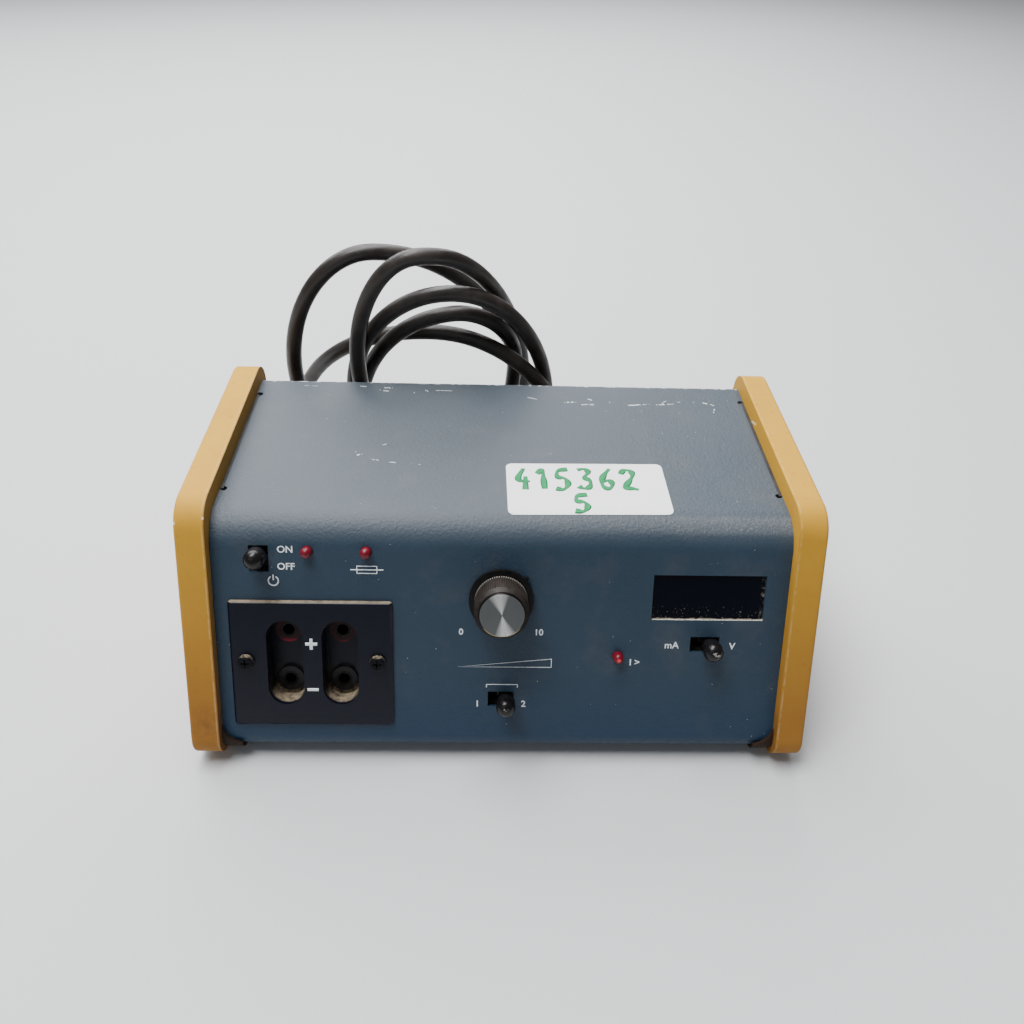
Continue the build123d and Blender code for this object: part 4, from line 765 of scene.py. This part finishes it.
# Each line with its width, and whether it is closed
legend_strokes = [
    (arc(-78.6, 68.0, 1.7, 60, -240), 0.45, False),
    ([(-78.6, 68.2), (-78.6, 70.2)], 0.45, False),
    (box(-50.2, 71.0, -43.4, 73.6), 0.4, True),
    ([(-52.4, 72.3), (-41.2, 72.3)], 0.4, False),
    ([(-15.6, 36.4), (17.4, 36.4), (17.4, 39.6)], 0.4, True),
    ([(-5.4, 28.4), (-5.4, 29.6), (5.6, 29.6), (5.6, 28.4)], 0.4, False),
]
legend = bmesh.new()
for text, x, up, height in legend_texts:
    add_ink(legend, text_mesh(text, height), panel_turned, on_panel(x, up, ink_lift))
for points, width, closed in legend_strokes:
    add_ink(legend, stroke_mesh(points, width, closed), panel_turned, on_panel(0, 0, ink_lift))
finish_ink("panel_legends", legend, white_ink, "housing")
sign_width = 1.15
plus_and_minus = [
    [(-68.5, 45.3), (-64.4, 45.3)],
    [(-66.45, 43.2), (-66.45, 47.4)],
    [(-68.4, 27.9), (-64.5, 27.9)],
]
signs = bmesh.new()
for points in plus_and_minus:
    add_ink(signs, stroke_mesh(points, sign_width), panel_turned, on_panel(0, 0, plate_face + ink_lift))
finish_ink("terminal_signs", signs, white_ink, "housing")

# Label: a white paper sticker on the top, with round corners and set down a little askew.
# It is numbered by hand with a green marker pen.
paper = Finish("label_paper", Specular_IOR_Level=0.3)
paper_cloud = paper.noise(90, 4, 0.6)
paper_white = (0.92, 0.93, 0.92, 1)
paper_grey = (0.88, 0.89, 0.88, 1)
paper.wear("Base Color", paper.blend(paper_cloud, paper_white, paper_grey))
paper.wear("Roughness", 0.45 + paper_cloud * 0.15)
paper.on("top_label")
green_ink = Finish("green_marker", Roughness=0.6, Specular_IOR_Level=0.1)
marker_green = (0.004, 0.16, 0.050, 1)
thin_green = (0.025, 0.32, 0.12, 1)
green_ink.wear("Base Color", green_ink.blend(green_ink.noise(500, 3, 0.6), marker_green, thin_green))
# The rough places of each digit's pen lines, in a box that is one wide and one high
pen_digits = {
    1: [[(0.15, 0.72), (0.5, 1.0), (0.48, 0.5), (0.5, 0.0)]],
    2: [[
        (0.05, 0.75), (0.25, 0.98), (0.65, 0.95), (0.75, 0.7),
        (0.4, 0.35), (0.02, 0.03), (0.4, 0.08), (0.88, 0.0),
    ]],
    3: [[
        (0.1, 0.92), (0.55, 1.0), (0.75, 0.78), (0.35, 0.55),
        (0.8, 0.38), (0.65, 0.05), (0.3, 0.0), (0.05, 0.12),
    ]],
    4: [[(0.55, 1.0), (0.05, 0.4), (0.85, 0.38)], [(0.62, 0.62), (0.58, 0.0)]],
    5: [[(0.8, 1.0), (0.2, 0.95), (0.15, 0.58), (0.6, 0.6), (0.8, 0.3), (0.5, 0.0), (0.05, 0.08)]],
    6: [[(0.7, 1.0), (0.25, 0.65), (0.08, 0.25), (0.4, 0.0), (0.75, 0.2), (0.6, 0.48), (0.15, 0.35)]],
}
bend_steps = 4


def pen_stroke(points, width, height, left, low):
    """A smooth hand-drawn line through rough points of a unit box."""
    smooth = [points[0]]
    for first, second in zip(points, points[1:]):
        smooth.append(((first[0] + second[0]) / 2, (first[1] + second[1]) / 2))
        smooth.append(second)
    path = [smooth[0]]
    for start, bend, end in zip(smooth[1::2], smooth[2::2], smooth[3::2]):
        for step in range(bend_steps):
            share = step / bend_steps
            one, two, three = (1 - share) ** 2, 2 * share * (1 - share), share**2
            path.append((
                start[0] * one + bend[0] * two + end[0] * three,
                start[1] * one + bend[1] * two + end[1] * three,
            ))
    path += smooth[-2:]
    return [(left + x * width, low + y * height) for x, y in path]


foot_height = 0.0035
cover_height = 0.08145
label_thickness = 0.00015
label_top = Vector((0.0297, -0.00946, foot_height + cover_height + label_thickness))
label_askew = Matrix.Rotation(math.radians(0.9), 4, "Z")
marker_at = label_top + Vector((0, 0, ink_lift / 1000))
pen_width = 2.3
digit_width = 6.6
light_press = 0.85
press_swing = 0.3
# Each digit with its left side, its foot and its height, in mm from the label's middle
pen_places = [
    (4, -26.0, -1.0, 12.5),
    (1, -18.6, -0.6, 12.3),
    (5, -11.6, -1.3, 12.4),
    (3, -3.4, -0.5, 12.2),
    (6, 4.6, -1.0, 12.5),
    (2, 12.6, -0.8, 12.0),
    (5, -5.8, -13.4, 9.6),
]
marker = bmesh.new()
for digit, left, low, height in pen_places:
    for points in pen_digits[digit]:
        line = pen_stroke(points, digit_width, height, left, low)
        press = [light_press + press_swing * math.sin(index * 0.9 + left) for index in range(len(line))]
        add_ink(marker, stroke_mesh(line, pen_width, spread=press), label_askew, marker_at)
finish_ink("label_writing", marker, green_ink, "housing")

# Scuffs: bare primer where the enamel flaked off under things that were set down on the
# top. Each mark breaks up into ragged flakes of uneven width.
primer = Finish("bare_primer", Roughness=0.7)
primer_light = (0.80, 0.83, 0.84, 1)
primer.wear("Base Color", primer.blend(primer.noise(700, 3), primer_grey, primer_light))
# Each mark's corners, in mm across and back on the top, and its width
flake_marks = [
    ([(-81.4, 56.8), (-76.2, 56.5)], 0.3),
    ([(-58.6, 57.0), (-56.0, 56.8)], 0.7),
    ([(-50.3, 54.2), (-46.3, 53.7)], 0.9),
    ([(-48.6, 56.2), (-45.0, 56.0)], 0.8),
    ([(-36.4, 53.2), (-36.1, 52.6)], 0.6),
    ([(-31.7, 55.0), (-30.8, 53.9)], 0.8),
    ([(-27.4, 54.8), (-20.9, 54.7)], 0.5),
    ([(10.3, 50.6), (12.6, 50.0), (14.6, 48.9)], 0.6),
    ([(25.2, 47.4), (29.8, 47.6)], 0.9),
    ([(31.9, 45.7), (34.5, 46.3), (37.0, 45.9)], 0.7),
    ([(34.9, 50.2), (36.5, 49.5)], 0.7),
    ([(43.7, 47.9), (44.2, 47.5)], 1.5),
    ([(51.2, 46.0), (56.2, 46.7)], 0.8),
    ([(57.3, 46.9), (60.2, 47.0)], 0.5),
    ([(62.7, 46.9), (66.1, 47.0), (65.4, 48.4), (67.1, 49.6)], 0.6),
    ([(67.4, 47.4), (70.3, 47.5)], 0.5),
    ([(72.0, 49.0), (72.7, 49.1)], 0.5),
    ([(78.3, 49.4), (78.7, 49.4)], 0.4),
    ([(82.3, 48.8), (85.6, 47.8), (87.0, 46.2)], 0.8),
    ([(86.3, 44.4), (85.3, 41.3)], 0.5),
    ([(-55.3, 10.9), (-54.0, 8.6), (-52.7, 9.4)], 0.9),
    ([(-45.7, 15.2), (-44.3, 15.9)], 0.5),
    ([(-49.1, 6.3), (-46.2, 5.5)], 0.6),
    ([(-42.1, 4.6), (-39.4, 4.3)], 0.5),
    ([(-34.4, 3.9), (-34.0, 3.9)], 0.5),
    ([(-31.3, 3.4), (-30.8, 3.3)], 0.5),
]
flake_step = 0.45
flake_tip = 0.3
tip_share = 0.2
tear_chance = 0.16
flake_lift = 0.00001
flake_at = Vector((0, 0, label_top.z - label_thickness + flake_lift))
unturned = Matrix.Identity(4)
flake_seed = 11
chance = random.Random(flake_seed)
flakes = bmesh.new()
for corners, width in flake_marks:
    trail = []
    for start, end in zip(corners, corners[1:]):
        steps = max(1, round(math.dist(start, end) / flake_step))
        trail += [Vector(start).lerp(Vector(end), step / steps) for step in range(steps)]
    trail.append(Vector(corners[-1]))
    run = []
    for place in trail + [None]:
        torn = place is None or chance.random() < tear_chance
        if not torn:
            sideways = Vector((chance.uniform(-0.1, 0.1), chance.uniform(-0.3, 0.3))) * width
            run.append(tuple(place + sideways))
        elif run:
            run.append((run[-1][0] + flake_tip, run[-1][1]))
            shares = [chance.uniform(0.35, 1.0) for _ in run[:-1]] + [tip_share]
            add_ink(flakes, stroke_mesh(run, width, spread=shares), unturned, flake_at)
            run = []
finish_ink("paint_flakes", flakes, primer, "housing")

# Dust: pale specks that have settled on the cover's panel and top. They are tiny grains,
# scattered over its outer faces with Geometry Nodes.
dust_tree = bpy.data.node_groups.new("dust_specks", "GeometryNodeTree")
dust_sockets = {
    name: dust_tree.interface.new_socket(name, in_out="INPUT", socket_type=kind)
    for name, kind in (
        ("Geometry", "NodeSocketGeometry"),
        ("Density", "NodeSocketFloat"),
        ("Grain radius", "NodeSocketFloat"),
        ("Seed", "NodeSocketInt"),
    )
}
dust_tree.interface.new_socket("Geometry", in_out="OUTPUT", socket_type="NodeSocketGeometry")


def dust_node(kind, settings=None, inputs=None):
    """One node of the dust's tree: its type, its settings, then its values or links."""
    node = dust_tree.nodes.new(kind)
    for name, value in (settings or {}).items():
        setattr(node, name, value)
    for name, value in (inputs or {}).items():
        if isinstance(value, bpy.types.NodeSocket):
            dust_tree.links.new(value, node.inputs[name])
        else:
            node.inputs[name].default_value = value
    return node


def dust_maths(operation, first, second):
    """What a Math node makes of two values."""
    return dust_node("ShaderNodeMath", {"operation": operation}, {0: first, 1: second}).outputs[0]


def facing(way):
    """Where the cover's faces look squarely along a direction."""
    inputs = {0: dust_normal.outputs[0], 1: way}
    dot = dust_node("ShaderNodeVectorMath", {"operation": "DOT_PRODUCT"}, inputs)
    return dust_maths("GREATER_THAN", dot.outputs["Value"], squarely)


speck_paint = Finish("dust_speck", Roughness=0.8)
speck_grey = (0.40, 0.42, 0.42, 1)
speck_beige = (0.62, 0.60, 0.55, 1)
speck_paint.wear("Base Color", speck_paint.blend(speck_paint.noise(300), speck_grey, speck_beige))
squarely = 0.97
high_above = 0.06
smallest = 0.25
dust_in = dust_node("NodeGroupInput").outputs
dust_normal = dust_node("GeometryNodeInputNormal")
dust_at = dust_node("GeometryNodeInputPosition")
dust_height = dust_node("ShaderNodeSeparateXYZ", {}, {0: dust_at.outputs[0]}).outputs[2]
on_top = dust_maths("MULTIPLY", facing((0, 0, 1)), dust_maths("GREATER_THAN", dust_height, high_above))
outside = dust_maths("MAXIMUM", facing(panel_out), on_top)
dust_points = dust_node(
    "GeometryNodeDistributePointsOnFaces",
    {"distribute_method": "RANDOM"},
    {
        "Mesh": dust_in["Geometry"],
        "Selection": outside,
        "Density": dust_in["Density"],
        "Seed": dust_in["Seed"],
    },
)
dust_size = dust_node(
    "FunctionNodeRandomValue", {"data_type": "FLOAT"}, {2: smallest, 3: 1.0, 8: dust_in["Seed"]}
)
dust_grain = dust_node(
    "GeometryNodeMeshIcoSphere", {}, {"Radius": dust_in["Grain radius"], "Subdivisions": 1}
)
dust_places = dust_node(
    "GeometryNodeInstanceOnPoints",
    {},
    {
        "Points": dust_points.outputs["Points"],
        "Instance": dust_grain.outputs["Mesh"],
        "Scale": dust_size.outputs[1],
    },
)
dust_solid = dust_node("GeometryNodeRealizeInstances", {}, {"Geometry": dust_places.outputs[0]})
dust_painted = dust_node(
    "GeometryNodeSetMaterial", {}, {"Geometry": dust_solid.outputs[0], "Material": speck_paint.material}
)
dust_node("NodeGroupOutput", {}, {0: dust_painted.outputs[0]})
cover_copy = bpy.data.objects.new("cover_copy", frame["nodes"]["front_top_cover"].data.copy())
bpy.context.scene.collection.objects.link(cover_copy)
scatter_dust = cover_copy.modifiers.new("dust", "NODES")
scatter_dust.node_group = dust_tree
# Grains on a square metre, their largest radius in metres, and the seed of their places
dust_settings = {"Density": 3600.0, "Grain radius": 0.00016, "Seed": 4}
for name, value in dust_settings.items():
    scatter_dust[dust_sockets[name].identifier] = value
bpy.context.view_layer.update()
speck_mesh = bpy.data.meshes.new_from_object(
    cover_copy.evaluated_get(bpy.context.evaluated_depsgraph_get())
)
cover_copy.modifiers.remove(scatter_dust)
bpy.data.objects.remove(cover_copy)
dust_specks = bpy.data.objects.new("dust_specks", speck_mesh)
bpy.context.scene.collection.objects.link(dust_specks)
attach(dust_specks, "housing")

# Floor and light: a plain pale floor under a soft grey sky, a wide lamp overhead, a wide
# window behind and a faint fill from the front left.
floor_reach = 3.0
floor_corners = [(*corner, 0) for corner in box(-floor_reach, -floor_reach, floor_reach, floor_reach)]
floor_mesh = bpy.data.meshes.new("floor")
floor_mesh.from_pydata(floor_corners, [], [(0, 1, 2, 3)])
floor = bpy.data.objects.new("floor", floor_mesh)
bpy.context.scene.collection.objects.link(floor)
bench = Finish("pale_floor", Base_Color=(0.62, 0.63, 0.64, 1), Roughness=0.8)
floor_mesh.materials.append(bench.material)
sky_grey = (0.55, 0.6, 0.66, 1)
sky_strength = 0.25
world = bpy.data.worlds.new("studio")
world.use_nodes = True
world.node_tree.nodes["Background"].inputs["Color"].default_value = sky_grey
world.node_tree.nodes["Background"].inputs["Strength"].default_value = sky_strength
bpy.context.scene.world = world


def soft_lamp(name, at, target, size, power):
    """A wide soft lamp that looks from one place at another, with its size in metres and its watts."""
    light = bpy.data.lights.new(name, "AREA")
    light.shape = "RECTANGLE"
    light.size, light.size_y = size
    light.energy = power
    item = bpy.data.objects.new(name, light)
    turned = (Vector(at) - Vector(target)).to_track_quat("Z", "Y").to_matrix().to_4x4()
    item.matrix_world = Matrix.Translation(at) @ turned
    bpy.context.scene.collection.objects.link(item)


soft_lamp("overhead", at=(-0.22, 0.10, 1.1), target=(0, 0, 0.05), size=(1.0, 0.5), power=25)
soft_lamp("back_window", at=(-0.35, 1.1, 0.95), target=(0, 0, 0.08), size=(1.8, 0.9), power=36)
soft_lamp("front_fill", at=(-0.5, -0.9, 0.7), target=(0, 0, 0.05), size=(0.8, 0.6), power=1.2)
